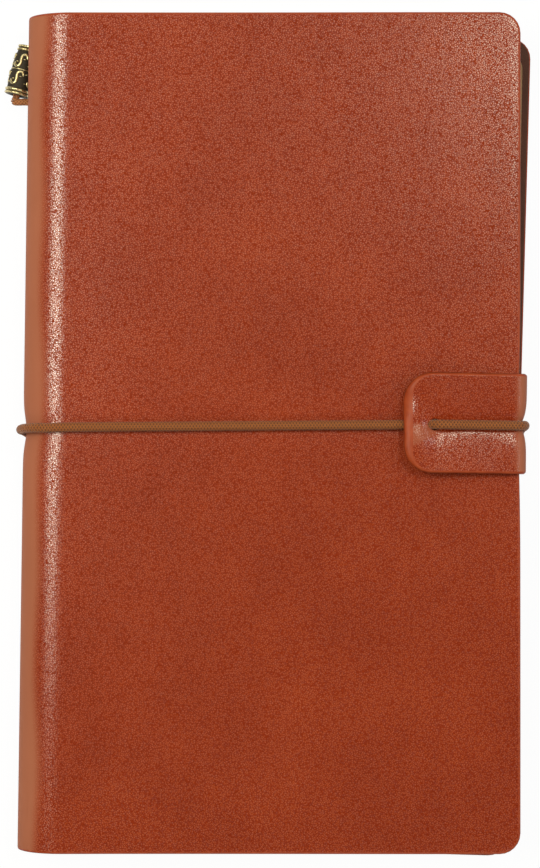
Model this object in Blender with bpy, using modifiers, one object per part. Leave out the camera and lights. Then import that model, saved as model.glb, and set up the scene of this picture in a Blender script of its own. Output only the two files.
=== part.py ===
"""Travelers notebook: a soft leather cover wrapped round three stapled inserts.

The notebook lies on its back cover.  +X points to the fore-edge, +Y to the head and +Z up.
The origin is the middle of the back cover's outer face; local x is counted from the spine line.
"""
import math

import bmesh
import bpy
import numpy as np
from mathutils import Matrix, Vector

MM = 0.001

# Leather cover: one sheet, wrapped a little askew round the spine
COVER_HEIGHT = 200.0 * MM
FRONT_WIDTH = 119.0 * MM
BACK_WIDTH = 120.6 * MM
LEATHER = 1.8 * MM
COVER_CORNER = 5.0 * MM
WRAP_SKEW = math.radians(0.8)
FRONT_BEND = 9.0 * MM
FRONT_BEND_POWER = 2.0
BACK_BEND = 11.0 * MM
BACK_BEND_POWER = 1.6
BEND_STEPS = 11
SPINE_FLAT = 0.6 * MM
SPLIT_GAP = 0.3 * MM

# Inserts: folded booklets, from the outside in
INSERT_HEIGHT = 188.0 * MM
INSERT_WIDTH = 110.4 * MM
INSERT_CORNER = 4.0 * MM
KRAFT = 0.4 * MM
PAGES = 1.3 * MM
PAPER_GAP = 0.2 * MM
PAGE_SLIT = 0.2 * MM
PAGE_SETBACK = 0.3 * MM
LAYER_GAP = 0.3 * MM
FOLD_ROOM = 0.9 * MM
FOLD_STEPS = 8

# Wire staples and the elastic strands in the folds
STAPLE_WIRE = 0.5 * MM
STAPLE_CROWN = 12.0 * MM
STAPLE_PITCH = 94.0 * MM
STAPLE_SEAT = 0.1 * MM
STAPLE_CLEARANCE = 0.15 * MM
STRAND = 1.5 * MM
STRAND_CLEARANCE = 0.2 * MM
STRAND_OVERRUN = 2.6 * MM
STRAND_SOCKET = 1.1 * MM
MIDDLE_STRAND_DROP = 2.4 * MM

# Closure strap: grows out of the back cover and turns over the fore-edge
STRAP_WIDTH = 23.8 * MM
STRAP_Y = 3.9 * MM
STRAP_REACH = 27.4 * MM
STRAP_CORNER = 6.4 * MM
STRAP_TILT = math.radians(6.0)
STRAP_CLEAR = 0.4 * MM
STRAP_LOW_RADIUS = 2.2 * MM
STRAP_TOP_RADIUS = 3.0 * MM
STRAP_TOP_LIFT = 0.5 * MM
STRAP_SLIT = 0.4 * MM
STRAP_BEND_STEPS = 7
STRAP_HOLE = 2.8 * MM
STRAP_HOLE_FROM_TIP = 7.2 * MM

# Closure elastic: flattened to a thinner cord where the notebook lies on it
ELASTIC = 2.2 * MM
ELASTIC_PRESSED = 1.1 * MM
ELASTIC_GAP = 0.35 * MM
ELASTIC_CLEARANCE = 0.25 * MM
ELASTIC_BITE = 0.4 * MM
ELASTIC_STRAP_BITE = 1.4 * MM
ELASTIC_FLOOR = 0.07 * MM
ELASTIC_Y_STRAP = 3.5 * MM
ELASTIC_Y_SPINE = 1.4 * MM
ELASTIC_Y_BACK = -4.0 * MM

# Bead and the cord it hangs on
BEAD_LENGTH = 12.2 * MM
BEAD_BORE = 3.0 * MM
BEAD_BIG_END = 6.2 * MM
BEAD_SMALL_END = 5.0 * MM
BEAD_BELLY = 0.35 * MM
BEAD_RIM_STEP = 0.35 * MM
BEAD_RIM = 0.7 * MM
BEAD_Y = 88.3 * MM
BEAD_TILT = math.radians(13.0)
BEAD_SEAT = 0.25 * MM
TAIL = 1.7 * MM
TAIL_HOLE = 2.8 * MM
TAIL_HOLE_Y = 80.3 * MM
TAIL_HOLE_HEIGHT = 3.4 * MM
TAIL_KNOT = 2.4 * MM

CORD_SIDES = 2
ROUND_STEPS = 32

# Sizes that follow from the ones above
INSERT_THICKNESS = 2 * (KRAFT + PAPER_GAP + PAGES) + PAGE_SLIT
THICKNESS = 3 * INSERT_THICKNESS + 4 * LAYER_GAP + 2 * LEATHER
MID = THICKNESS / 2
HALF_HEIGHT = COVER_HEIGHT / 2
INSERT_PITCH = INSERT_THICKNESS + LAYER_GAP
STRAP_TOP_TURN = math.pi / 2 - STRAP_TILT

RUST = (0.305, 0.052, 0.020)
KRAFT_BROWN = (0.36, 0.22, 0.11)
CREAM = (0.80, 0.72, 0.55)
OCHRE = (0.24, 0.12, 0.028)
TAN = (0.42, 0.17, 0.05)
ANTIQUE_BRASS = (0.30, 0.24, 0.12)
STEEL = (0.60, 0.60, 0.60)


def clear_scene():
    for item in list(bpy.data.objects):
        bpy.data.objects.remove(item, do_unlink=True)


def new_collection(name):
    collection = bpy.data.collections.new(name)
    bpy.context.scene.collection.children.link(collection)
    return collection


def material(name, colour, roughness, metallic=0.0):
    made = bpy.data.materials.new(name)
    made.use_nodes = True
    shader = made.node_tree.nodes["Principled BSDF"]
    shader.inputs["Base Color"].default_value = (*colour, 1.0)
    shader.inputs["Roughness"].default_value = roughness
    shader.inputs["Metallic"].default_value = metallic
    return made


def add_object(name, data, collection, finish=None, parent=None):
    made = bpy.data.objects.new(name, data)
    collection.objects.link(made)
    made.parent = parent
    if finish:
        data.materials.append(finish)
    return made


def add_empty(name, place, parent=None):
    empty = add_object(name, None, PARTS, parent=parent)
    empty.location = place
    return empty


def hang_on(piece, axis_empty):
    """Give a piece the axis empty as parent, without moving it in the notebook's own frame."""
    piece.parent = axis_empty
    piece.location = piece.location - axis_empty.location


def smooth_rounds(mesh, angle=math.radians(35)):
    mesh.shade_smooth()
    mesh.set_sharp_from_angle(angle=angle)


def as_mesh(curve_object, triangles=False):
    """Replace a curve object by its welded mesh, so that it can be cut or used as a cutter."""
    bpy.context.view_layer.update()
    evaluated = curve_object.evaluated_get(bpy.context.evaluated_depsgraph_get())
    mesh = bpy.data.meshes.new_from_object(evaluated)
    bm = bmesh.new()
    bm.from_mesh(mesh)
    bmesh.ops.remove_doubles(bm, verts=bm.verts, dist=0.001 * MM)
    bmesh.ops.recalc_face_normals(bm, faces=bm.faces)
    if triangles:
        bmesh.ops.triangulate(bm, faces=bm.faces)
    bm.to_mesh(mesh)
    bm.free()
    made = bpy.data.objects.new(curve_object.name, mesh)
    made.parent = curve_object.parent
    made.matrix_basis = curve_object.matrix_basis
    curve_object.users_collection[0].objects.link(made)
    name = curve_object.name
    bpy.data.objects.remove(curve_object, do_unlink=True)
    made.name = name
    return made


def as_cutter(piece):
    piece.hide_render = True
    piece.display_type = "WIRE"
    return piece


def cut(piece, cutter, operation="DIFFERENCE"):
    boolean = piece.modifiers.new(cutter.name, "BOOLEAN")
    boolean.operation = operation
    boolean.object = cutter


# Profiles: polylines of (x, z) along the leather's outer face, walked by their length


class Profile:
    """An outer-face polyline; `at` walks it by length and `inner_x` reads the inner face."""

    def __init__(self, points):
        self.points = np.array(points)
        steps = np.linalg.norm(np.diff(self.points, axis=0), axis=1)
        self.lengths = np.concatenate([[0.0], np.cumsum(steps)])

    def at(self, length):
        x = np.interp(length, self.lengths, self.points[:, 0])
        z = np.interp(length, self.lengths, self.points[:, 1])
        return Vector((x, 0.0, z))

    def normals(self):
        """Unit normals at the points, on the inner side of the leather."""
        tangent = np.gradient(self.points, axis=0)
        tangent /= np.linalg.norm(tangent, axis=1)[:, None]
        inward = np.stack([-tangent[:, 1], tangent[:, 0]], axis=1)
        towards_middle = np.sign((MID - self.points[:, 1]) * inward[:, 1] + inward[:, 0] * LEATHER)
        return inward * np.where(towards_middle == 0, 1, towards_middle)[:, None]

    def inner_x(self, z):
        inner = self.points + self.normals() * LEATHER
        order = np.argsort(inner[:, 1])
        return float(np.interp(z, inner[order, 1], inner[order, 0]))


def spine_curve(bend, power, side):
    """From the spine line: a short straight rise, then a superelliptic quarter to the flat."""
    turn = np.linspace(0.0, math.pi / 2, BEND_STEPS)
    out = bend * (1 - np.cos(turn).clip(0) ** (2 / power))
    rise = SPINE_FLAT + (MID - SPINE_FLAT) * np.sin(turn) ** (2 / power)
    return [(0.0, MID)] + [(x, MID + side * height) for x, height in zip(out, rise)]


def arc(centre, radius, start, end, steps):
    angles = np.linspace(start, end, steps + 1)
    return [(centre[0] + radius * math.cos(a), centre[1] + radius * math.sin(a)) for a in angles]


def strap_path():
    """Outer face of the strap: from the back cover up the fore-edge and over the front cover."""
    outer_x = FRONT_WIDTH + STRAP_CLEAR + LEATHER
    low = (outer_x - STRAP_LOW_RADIUS, STRAP_LOW_RADIUS)
    top = (outer_x - STRAP_TOP_RADIUS, THICKNESS - STRAP_TOP_LIFT)
    points = arc(low, STRAP_LOW_RADIUS, -math.pi / 2, 0.0, STRAP_BEND_STEPS)
    points += arc(top, STRAP_TOP_RADIUS, 0.0, STRAP_TOP_TURN, STRAP_BEND_STEPS)
    end = points[-1]
    run = STRAP_REACH
    points.append((end[0] - run * math.cos(STRAP_TILT), end[1] + run * math.sin(STRAP_TILT)))
    return points


FRONT_CURVE = spine_curve(FRONT_BEND, FRONT_BEND_POWER, +1)
BACK_CURVE = spine_curve(BACK_BEND, BACK_BEND_POWER, -1)
STRAP_PATH = strap_path()
FRONT_PROFILE = Profile(FRONT_CURVE + [(2 * FRONT_WIDTH, THICKNESS)])
BACK_PROFILE = Profile(BACK_CURVE + [(2 * BACK_WIDTH, 0.0)])
STRAP_PROFILE = Profile(BACK_CURVE + STRAP_PATH)
LOW_BEND = STRAP_PROFILE.lengths[len(BACK_CURVE):][:STRAP_BEND_STEPS + 1]
TOP_BEND = STRAP_PROFILE.lengths[len(BACK_CURVE) + STRAP_BEND_STEPS + 1:][:STRAP_BEND_STEPS + 1]
LOW_SPLIT = LOW_BEND.mean()
TOP_SPLIT = TOP_BEND.mean()
STRAP_START = LOW_BEND[0]
STRAP_TIP = STRAP_PROFILE.lengths[-1]


# Leather: cut flat, creased where it bends, wrapped along its profile and thickened


def round_corner(corner, before, after, radius, steps=6):
    """Points of the arc that rounds a corner between its two neighbours."""
    corner, before, after = (Vector(p).to_2d() for p in (corner, before, after))
    u = (before - corner).normalized()
    v = (after - corner).normalized()
    half = u.angle(v) / 2
    centre = corner + (u + v).normalized() * (radius / math.sin(half))
    first = (corner + u * (radius / math.tan(half)) - centre).normalized()
    last = (corner + v * (radius / math.tan(half)) - centre).normalized()
    return [tuple(centre + radius * first.slerp(last, i / steps)) for i in range(steps + 1)]


def skewed(width, side):
    """Corner points of a cover half in (length, y), with the sheet turned against the spine."""
    turn = Matrix.Rotation(side * WRAP_SKEW, 2)
    low = [(-width / 2, -HALF_HEIGHT), (width, -HALF_HEIGHT)]
    high = [(width, HALF_HEIGHT), (-width / 2, HALF_HEIGHT)]
    return [turn @ Vector(corner) for corner in low + high]


def fore_edge_length(width, side, y):
    return (width - side * y * math.sin(WRAP_SKEW)) / math.cos(WRAP_SKEW)


def cover_outline(width, side):
    spine_low, fore_low, fore_high, spine_high = skewed(width, side)
    outline = [tuple(spine_low)]
    outline += round_corner(fore_low, spine_low, fore_high, COVER_CORNER)
    outline += round_corner(fore_high, fore_low, spine_high, COVER_CORNER)
    outline.append(tuple(spine_high))
    return outline


def with_strap_stub(outline, width):
    """Let the strap grow out of the back cover's fore-edge, freed by a slit on each side."""
    half = STRAP_WIDTH / 2
    stub = []
    for side in (-1, +1):
        strap_edge = STRAP_Y + side * half
        slit_edge = strap_edge + side * STRAP_SLIT
        slit = [(fore_edge_length(width, -1, slit_edge), slit_edge), (STRAP_START, slit_edge),
                (STRAP_START, strap_edge), (LOW_SPLIT - SPLIT_GAP / 2, strap_edge)]
        stub += slit if side < 0 else slit[::-1]
    middle = len(outline) // 2
    return outline[:middle] + stub + outline[middle:]


def strap_outline(start, end, rounded):
    low = STRAP_Y - STRAP_WIDTH / 2
    high = STRAP_Y + STRAP_WIDTH / 2
    outline = [(start, low), (end, low), (end, high), (start, high)]
    if not rounded:
        return outline
    tip_low = round_corner(outline[1], outline[0], outline[2], STRAP_CORNER)
    tip_high = round_corner(outline[2], outline[1], outline[3], STRAP_CORNER)
    return [outline[0]] + tip_low + tip_high + [outline[3]]


def in_strap(y):
    return abs(y - STRAP_Y) <= STRAP_WIDTH / 2 + STRAP_SLIT / 4


def wrapped_leather(name, outline, profile, thickness_side, strap=None):
    """Cut the outline flat, crease it at the profile's points and wrap it along the profile."""
    bm = bmesh.new()
    face = bm.faces.new([bm.verts.new((s, y, 0.0)) for s, y in outline])
    face.normal_update()
    bmesh.ops.triangulate(bm, faces=[face])
    creases = set(profile.lengths[1:-1]) | set(strap.lengths[1:-1] if strap else [])
    for length in sorted(creases):
        geometry = bm.verts[:] + bm.edges[:] + bm.faces[:]
        bmesh.ops.bisect_plane(bm, geom=geometry, plane_co=(length, 0, 0), plane_no=(1, 0, 0), dist=1e-7)
    geometry = bm.verts[:] + bm.edges[:] + bm.faces[:]
    bmesh.ops.bisect_plane(bm, geom=geometry, plane_co=(SPLIT_GAP / 2, 0, 0), plane_no=(1, 0, 0),
                           dist=1e-7, clear_inner=True)
    for vert in bm.verts:
        length, y = vert.co.x, vert.co.y
        path = strap if strap and in_strap(y) and length > STRAP_START - SPLIT_GAP else profile
        vert.co = path.at(length)
        vert.co.y = y
    bmesh.ops.remove_doubles(bm, verts=bm.verts, dist=0.001 * MM)
    mesh = bpy.data.meshes.new(name)
    bm.to_mesh(mesh)
    bm.free()
    smooth_rounds(mesh)
    piece = add_object(name, mesh, PARTS, FINISH["leather"], FRAME)
    shell = piece.modifiers.new("leather thickness", "SOLIDIFY")
    shell.thickness = LEATHER
    shell.offset = thickness_side
    shell.use_even_offset = True
    return piece


# Cords: hand-chosen points, read off a smooth curve through them


def smooth_route(points, samples, closed=False):
    """Centripetal-like spline through (x, y, z, radius) points, read at even steps."""
    pts = np.array(points, dtype=float)
    count = len(pts)
    spans = count if closed else count - 1
    route = []
    for i in range(spans):
        ids = [i - 1, i, i + 1, i + 2]
        ids = [j % count if closed else min(max(j, 0), count - 1) for j in ids]
        p0, p1, p2, p3 = pts[ids]
        for k in range(samples):
            t = k / samples
            blend = 2 * p1 + (p2 - p0) * t + (2 * p0 - 5 * p1 + 4 * p2 - p3) * t ** 2
            blend += (3 * p1 - p0 - 3 * p2 + p3) * t ** 3
            route.append(blend / 2)
    if not closed:
        route.append(pts[-1])
    return route


def cord(name, route, collection, finish=None, extra=0.0, closed=False):
    """A tube along (x, y, z, radius) points, fatter by `extra` when it cuts its own seat."""
    thick = max(p[3] for p in route) + extra
    curve = bpy.data.curves.new(name, "CURVE")
    curve.dimensions = "3D"
    curve.bevel_depth = thick
    curve.bevel_resolution = CORD_SIDES
    curve.use_fill_caps = not closed
    spline = curve.splines.new("POLY")
    spline.points.add(len(route) - 1)
    spline.use_cyclic_u = closed
    for point, (x, y, z, radius) in zip(spline.points, route):
        point.co = (x, y, z, 1.0)
        point.radius = (radius + extra) / thick
    return add_object(name, curve, collection, finish, FRAME)


def spine_seat(curve, index, radius):
    """Cord centre on a spine point, sunk into the leather by the bite and clear of the table."""
    profile = Profile(curve)
    point = profile.points[index] - profile.normals()[index] * (radius - ELASTIC_BITE)
    return point[0], max(point[1], radius + ELASTIC_FLOOR)


def strap_top(x):
    """Height of the flap's upper face over local x."""
    start, tip = STRAP_PATH[-2], STRAP_PATH[-1]
    return start[1] + (start[0] - x) * math.tan(STRAP_TILT) if x > tip[0] else tip[1]


def elastic_points():
    """The loop: across the front, under the flap, up its hole, round the fore-edge and back."""
    full, thin = ELASTIC / 2, ELASTIC_PRESSED / 2
    on_cover = THICKNESS + ELASTIC_GAP + full
    over = full + LAYER_GAP
    hole_x = strap_hole_x()
    outer_x = FRONT_WIDTH + STRAP_CLEAR + LEATHER + full + LAYER_GAP - ELASTIC_STRAP_BITE
    pressed = thin + ELASTIC_FLOOR
    y_strap, y_spine, y_back = ELASTIC_Y_STRAP, ELASTIC_Y_SPINE, ELASTIC_Y_BACK
    slope = (y_strap - y_spine) / hole_x
    points = []
    for index, y in ((1, y_spine - 0.5 * MM), (4, y_spine - 0.2 * MM), (7, y_spine)):
        x, z = spine_seat(FRONT_CURVE, index, full)
        points.append((x, y, z, full))
    for x in (FRONT_BEND + 4 * MM, FRONT_BEND + 25 * MM, hole_x / 2, hole_x - 24 * MM, hole_x - 9 * MM):
        points.append((x, y_spine + slope * x, on_cover, full))
    points += [
        (hole_x - 3.6 * MM, y_strap, on_cover + 0.05 * MM, full),
        (hole_x - 1.3 * MM, y_strap, strap_top(hole_x) - LEATHER - 0.3 * MM, full),
        (hole_x + 0.5 * MM, y_strap, strap_top(hole_x) - 0.1 * MM, full),
        (hole_x + 3.0 * MM, y_strap, strap_top(hole_x + 3.0 * MM) + over, full),
        (hole_x + 10 * MM, y_strap, strap_top(hole_x + 10 * MM) + over, full),
        (outer_x - 5.2 * MM, y_strap, strap_top(outer_x - 5.2 * MM) + over, full),
        (outer_x - 1.4 * MM, y_strap, THICKNESS + 2.4 * MM, full),
        (outer_x, y_strap, THICKNESS - 1.6 * MM, full),
        (outer_x, y_strap - 0.6 * MM, MID, full),
        (outer_x, y_strap - 1.4 * MM, 4.4 * MM, full),
        (outer_x - 0.5 * MM, y_strap - 1.8 * MM, 2.3 * MM, 0.9 * full),
        (outer_x - 2.4 * MM, y_strap - 2.2 * MM, 0.95 * MM, 0.7 * full),
        (outer_x - 6 * MM, y_strap - 2.8 * MM, pressed, thin),
        (0.8 * BACK_WIDTH, y_back + 2.2 * MM, pressed, thin),
        (0.5 * BACK_WIDTH, y_back, pressed, thin),
        (0.25 * BACK_WIDTH, y_back + 0.6 * MM, pressed, thin),
        (BACK_BEND + 3 * MM, y_back + 2.0 * MM, pressed, thin),
        (BACK_BEND - 3 * MM, y_back + 2.4 * MM, pressed + 0.1 * MM, 0.6 * full),
    ]
    for index, y in ((6, y_back + 2.8 * MM), (4, y_back + 3.2 * MM), (2, y_spine - 0.7 * MM)):
        x, z = spine_seat(BACK_CURVE, index, full)
        points.append((x, y, z, full))
    return points


def strap_hole_x():
    return STRAP_PATH[-1][0] + STRAP_HOLE_FROM_TIP


def make_elastic():
    route = smooth_route(elastic_points(), 2, closed=True)
    cord("closure_elastic", route, PARTS, FINISH["elastic"], closed=True)
    seat = cord("elastic_seat", route, CUTTERS, extra=ELASTIC_CLEARANCE, closed=True)
    return as_cutter(as_mesh(seat))


def drill(name, start, end, diameter):
    """A round cutter between two points."""
    start, end = Vector(start), Vector(end)
    bm = bmesh.new()
    bmesh.ops.create_cone(bm, cap_ends=True, segments=16, radius1=diameter / 2, radius2=diameter / 2,
                          depth=(end - start).length)
    mesh = bpy.data.meshes.new(name)
    bm.to_mesh(mesh)
    bm.free()
    piece = add_object(name, mesh, CUTTERS, parent=FRAME)
    piece.rotation_euler = (end - start).to_track_quat("Z", "Y").to_euler()
    piece.location = (start + end) / 2
    return as_cutter(piece)


def make_covers(elastic_seat):
    front_length = FRONT_PROFILE.lengths[BEND_STEPS] + FRONT_WIDTH - FRONT_BEND
    back_length = BACK_PROFILE.lengths[BEND_STEPS] + BACK_WIDTH - BACK_BEND
    front_cut = cover_outline(front_length, +1)
    back_cut = with_strap_stub(cover_outline(back_length, -1), back_length)
    front = wrapped_leather("front_cover", front_cut, FRONT_PROFILE, -1)
    back = wrapped_leather("back_cover", back_cut, BACK_PROFILE, +1, STRAP_PROFILE)
    for piece in (front, back):
        cut(piece, elastic_seat)
    return front, back


def make_strap(elastic_seat):
    turn_cut = strap_outline(LOW_SPLIT + SPLIT_GAP / 2, TOP_SPLIT - SPLIT_GAP / 2, False)
    flap_cut = strap_outline(TOP_SPLIT + SPLIT_GAP / 2, STRAP_TIP, True)
    turn = wrapped_leather("strap_turn", turn_cut, STRAP_PROFILE, +1)
    flap = wrapped_leather("strap_flap", flap_cut, STRAP_PROFILE, +1)
    hole_x = strap_hole_x()
    centre = Vector((hole_x, ELASTIC_Y_STRAP, strap_top(hole_x) - LEATHER / 2))
    across = Vector((math.sin(STRAP_TILT), 0, math.cos(STRAP_TILT))) * 2 * LEATHER
    hole = drill("strap_hole", centre - across, centre + across, STRAP_HOLE)
    cut(turn, elastic_seat)
    cut(flap, elastic_seat)
    cut(flap, hole)
    return turn, flap


# Inserts: folded kraft and folded pages, each an outline in X and Z drawn along Y


def insert_middle(index):
    """Height of an insert's middle: 0 is the front insert, 2 the back one."""
    return MID + (1 - index) * INSERT_PITCH


def resting_x(height, radius, room):
    """X of a round thing's centre, as far into the spine as the leather lets it go."""
    places = []
    for angle in np.linspace(-math.pi / 2, math.pi / 2, 19):
        z = height + radius * math.sin(angle)
        profile = FRONT_PROFILE if z > MID else BACK_PROFILE
        places.append(profile.inner_x(z) + room + radius * math.cos(angle))
    return max(places)


def fold_centre(index):
    return resting_x(insert_middle(index), INSERT_THICKNESS / 2, FOLD_ROOM)


def folded_outline(centre, outer, fore_edge, slot, bulb):
    """A folded sheet seen from its end; the bulb is the round bottom of the fold."""
    z = centre[1]
    dip = math.asin(min(slot / bulb, 1.0))
    outline = [(fore_edge, z + outer)]
    outline += arc(centre, outer, math.pi / 2, 3 * math.pi / 2, 2 * FOLD_STEPS)
    outline += [(fore_edge, z - outer), (fore_edge, z - slot)]
    outline += arc(centre, bulb, 2 * math.pi - dip, dip, 2 * FOLD_STEPS)
    outline.append((fore_edge, z + slot))
    return outline


def half_folded_outline(centre, outer, fore_edge, slot, bulb, side):
    """One half of a folded sheet, parted in the plane of its fold."""
    x, z = centre
    tilt = math.asin(PAGE_SLIT / 2 / outer)
    dip = math.asin(min(max(slot, PAGE_SLIT / 2) / bulb, 1.0))
    near = math.asin(PAGE_SLIT / 2 / bulb)
    outline = [(fore_edge, outer)]
    outline += arc((x, 0.0), outer, math.pi / 2, math.pi - tilt, FOLD_STEPS)
    outline += arc((x, 0.0), bulb, math.pi - near, dip, 2 * FOLD_STEPS)
    outline.append((fore_edge, max(slot, PAGE_SLIT / 2)))
    return [(px, z + side * pz) for px, pz in outline]


def drawn_along_y(name, outline, length, collection):
    """A closed outline in X and Z, drawn along Y about the middle."""
    curve = bpy.data.curves.new(name, "CURVE")
    curve.dimensions = "2D"
    curve.fill_mode = "BOTH"
    curve.extrude = length / 2
    spline = curve.splines.new("POLY")
    spline.points.add(len(outline) - 1)
    spline.use_cyclic_u = True
    for point, (x, z) in zip(spline.points, outline):
        point.co = (x, z, 0.0, 1.0)
    piece = add_object(name, curve, collection, parent=FRAME)
    piece.rotation_euler = (math.pi / 2, 0, 0)
    return as_mesh(piece)


def trim_block(name, fold_x, fore_edge, height):
    """The plan of an insert with its round fore-edge corners, as a knife block."""
    half = height / 2
    corners = [(fold_x, -half), (fore_edge, -half), (fore_edge, half), (fold_x, half)]
    outline = [corners[0]]
    outline += round_corner(corners[1], corners[0], corners[2], INSERT_CORNER)
    outline += round_corner(corners[2], corners[1], corners[3], INSERT_CORNER)
    outline.append(corners[3])
    curve = bpy.data.curves.new(name, "CURVE")
    curve.dimensions = "2D"
    curve.fill_mode = "BOTH"
    curve.extrude = THICKNESS
    spline = curve.splines.new("POLY")
    spline.points.add(len(outline) - 1)
    spline.use_cyclic_u = True
    for point, (x, y) in zip(spline.points, outline):
        point.co = (x, y, 0.0, 1.0)
    piece = add_object(name, curve, CUTTERS, parent=FRAME)
    return as_cutter(as_mesh(piece))


def staple_ends(side):
    centre_y = side * STAPLE_PITCH / 2
    return centre_y - STAPLE_CROWN / 2, centre_y + STAPLE_CROWN / 2


def staple_x(index):
    return fold_centre(index) - INSERT_THICKNESS / 2 - STAPLE_SEAT - STAPLE_WIRE / 2


def leg_end_x(index):
    return fold_centre(index) - STRAND / 2 - STRAND_CLEARANCE


def make_staple(name, index, side):
    """A wire staple: its crown lies outside the fold and its legs go through to the inside."""
    x, z = staple_x(index), insert_middle(index)
    low, high = staple_ends(side)
    bend = STAPLE_WIRE * 0.6
    radius = STAPLE_WIRE / 2
    route = [(leg_end_x(index), low), (x + bend, low), (x + 0.3 * bend, low + 0.3 * bend), (x, low + bend)]
    route += [(px, low + high - py) for px, py in reversed(route)]
    points = [(px, py, z, radius) for px, py in route]
    return as_mesh(cord(name, points, PARTS, FINISH["steel"]))


def leg_holes(name, index):
    """One cutter for the four legs of an insert's staples."""
    x, z = staple_x(index), insert_middle(index)
    bm = bmesh.new()
    length = 2 * (leg_end_x(index) - x)
    for side in (-1, +1):
        for y in staple_ends(side):
            place = Matrix.Translation((x + length / 4, y, z)) @ Matrix.Rotation(math.pi / 2, 4, "Y")
            radius = STAPLE_WIRE / 2 + STAPLE_CLEARANCE
            bmesh.ops.create_cone(bm, cap_ends=True, segments=8, radius1=radius, radius2=radius,
                                  depth=length, matrix=place)
    mesh = bpy.data.meshes.new(name)
    bm.to_mesh(mesh)
    bm.free()
    return as_cutter(add_object(name, mesh, CUTTERS, parent=FRAME))


def make_paper(name, outline, height, finish, knives):
    piece = drawn_along_y(name, outline, height, PARTS)
    piece.data.materials.append(finish)
    trim, holes = knives
    cut(piece, trim, "INTERSECT")
    cut(piece, holes)
    return piece


def make_insert(label, index, parted):
    """A booklet; a parted one opens at its fold, so that its halves are separate pieces."""
    centre = (fold_centre(index), insert_middle(index))
    fore_edge = centre[0] - INSERT_THICKNESS / 2 + INSERT_WIDTH
    kraft_outer = INSERT_THICKNESS / 2
    kraft_inner = kraft_outer - KRAFT
    page_outer = kraft_inner - PAPER_GAP
    bulb = STRAND / 2 + STRAND_CLEARANCE
    holes = leg_holes(label + "_leg_holes", index)
    layers = (
        ("kraft", kraft_outer, kraft_inner, kraft_inner, fore_edge, INSERT_HEIGHT, FINISH["kraft"]),
        ("pages", page_outer, PAGE_SLIT / 2, bulb, fore_edge - PAGE_SETBACK,
         INSERT_HEIGHT - 2 * PAGE_SETBACK, FINISH["paper"]),
    )
    made = {}
    for layer, outer, slot, round_end, edge, height, finish in layers:
        trim = trim_block(f"{label}_{layer}_trim", 0.0, edge, height)
        knives = (trim, holes)
        name = f"{label}_{layer}"
        if parted:
            for half, side in (("front", +1), ("back", -1)):
                outline = half_folded_outline(centre, outer, edge + INSERT_CORNER, slot, round_end, side)
                made[layer + half] = make_paper(f"{name}_{half}", outline, 2 * height, finish, knives)
        else:
            outline = folded_outline(centre, outer, edge + INSERT_CORNER, slot, round_end)
            made[layer] = make_paper(name, outline, 2 * height, finish, knives)
    for half, side in (("head", +1), ("tail", -1)):
        made["staple_" + half] = make_staple(f"{label}_staple_{half}", index, side)
    return made


def make_strand(label, index, drop, leather):
    """An elastic strand in the fold; its ends turn into sockets in the spine leather."""
    x, z = fold_centre(index), insert_middle(index)
    end_z = z - drop
    profile = FRONT_PROFILE if end_z > MID else BACK_PROFILE
    seat_x = profile.inner_x(end_z)
    end_y = INSERT_HEIGHT / 2 + STRAND_OVERRUN
    radius = STRAND / 2
    half = [(seat_x - STRAND_SOCKET + LAYER_GAP, end_y, end_z, radius),
            (seat_x + 0.4 * MM, end_y, end_z, radius),
            (x - 0.6 * MM, end_y - 0.3 * MM, z - 0.5 * drop, radius),
            (x, end_y - 2.2 * MM, z, radius),
            (x, end_y - 8 * MM, z, radius),
            (x, end_y / 3, z, radius)]
    points = half + [(px, -py, pz, pr) for px, py, pz, pr in reversed(half)]
    strand = as_mesh(cord(label + "_strand", smooth_route(points, 3), PARTS, FINISH["elastic"]), triangles=True)
    for end, side in (("head", +1), ("tail", -1)):
        socket = drill(f"{label}_socket_{end}", (seat_x - STRAND_SOCKET, side * end_y, end_z),
                       (seat_x + LEATHER, side * end_y, end_z), STRAND + 2 * STRAND_CLEARANCE)
        cut(leather, socket)
    return strand


# Bead: turned round its own axis, laid beside the spine


def bead_radius(along):
    """Outer radius of the bead's body, from the big end at 0 to the small end at 1."""
    taper = BEAD_BIG_END + (BEAD_SMALL_END - BEAD_BIG_END) * along
    return taper / 2 - BEAD_RIM_STEP + BEAD_BELLY * math.sin(math.pi * along)


def bead_profile():
    """Closed profile: down the outer side with a double rim at each end, then up the bore."""
    half = BEAD_LENGTH / 2
    outer = []
    big, small = BEAD_BIG_END / 2, BEAD_SMALL_END / 2
    groove = 0.4 * BEAD_RIM_STEP
    for end_radius, end_z, way in ((small, half, -1), (big, -half, +1)):
        rim = [(end_radius - BEAD_RIM_STEP, end_z), (end_radius, end_z + way * 0.3 * BEAD_RIM),
               (end_radius, end_z + way * BEAD_RIM), (end_radius - groove, end_z + way * 1.25 * BEAD_RIM),
               (end_radius - 0.3 * groove, end_z + way * 1.7 * BEAD_RIM),
               (end_radius - groove, end_z + way * 2.2 * BEAD_RIM)]
        outer.append(rim if way < 0 else rim[::-1])
    body = []
    for along in np.linspace(0.84, 0.16, 9):
        body.append((bead_radius(along), (along - 0.5) * BEAD_LENGTH))
    bore = [(BEAD_BORE / 2, -half), (BEAD_BORE / 2, half)]
    return outer[0] + body + outer[1] + bore


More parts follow.
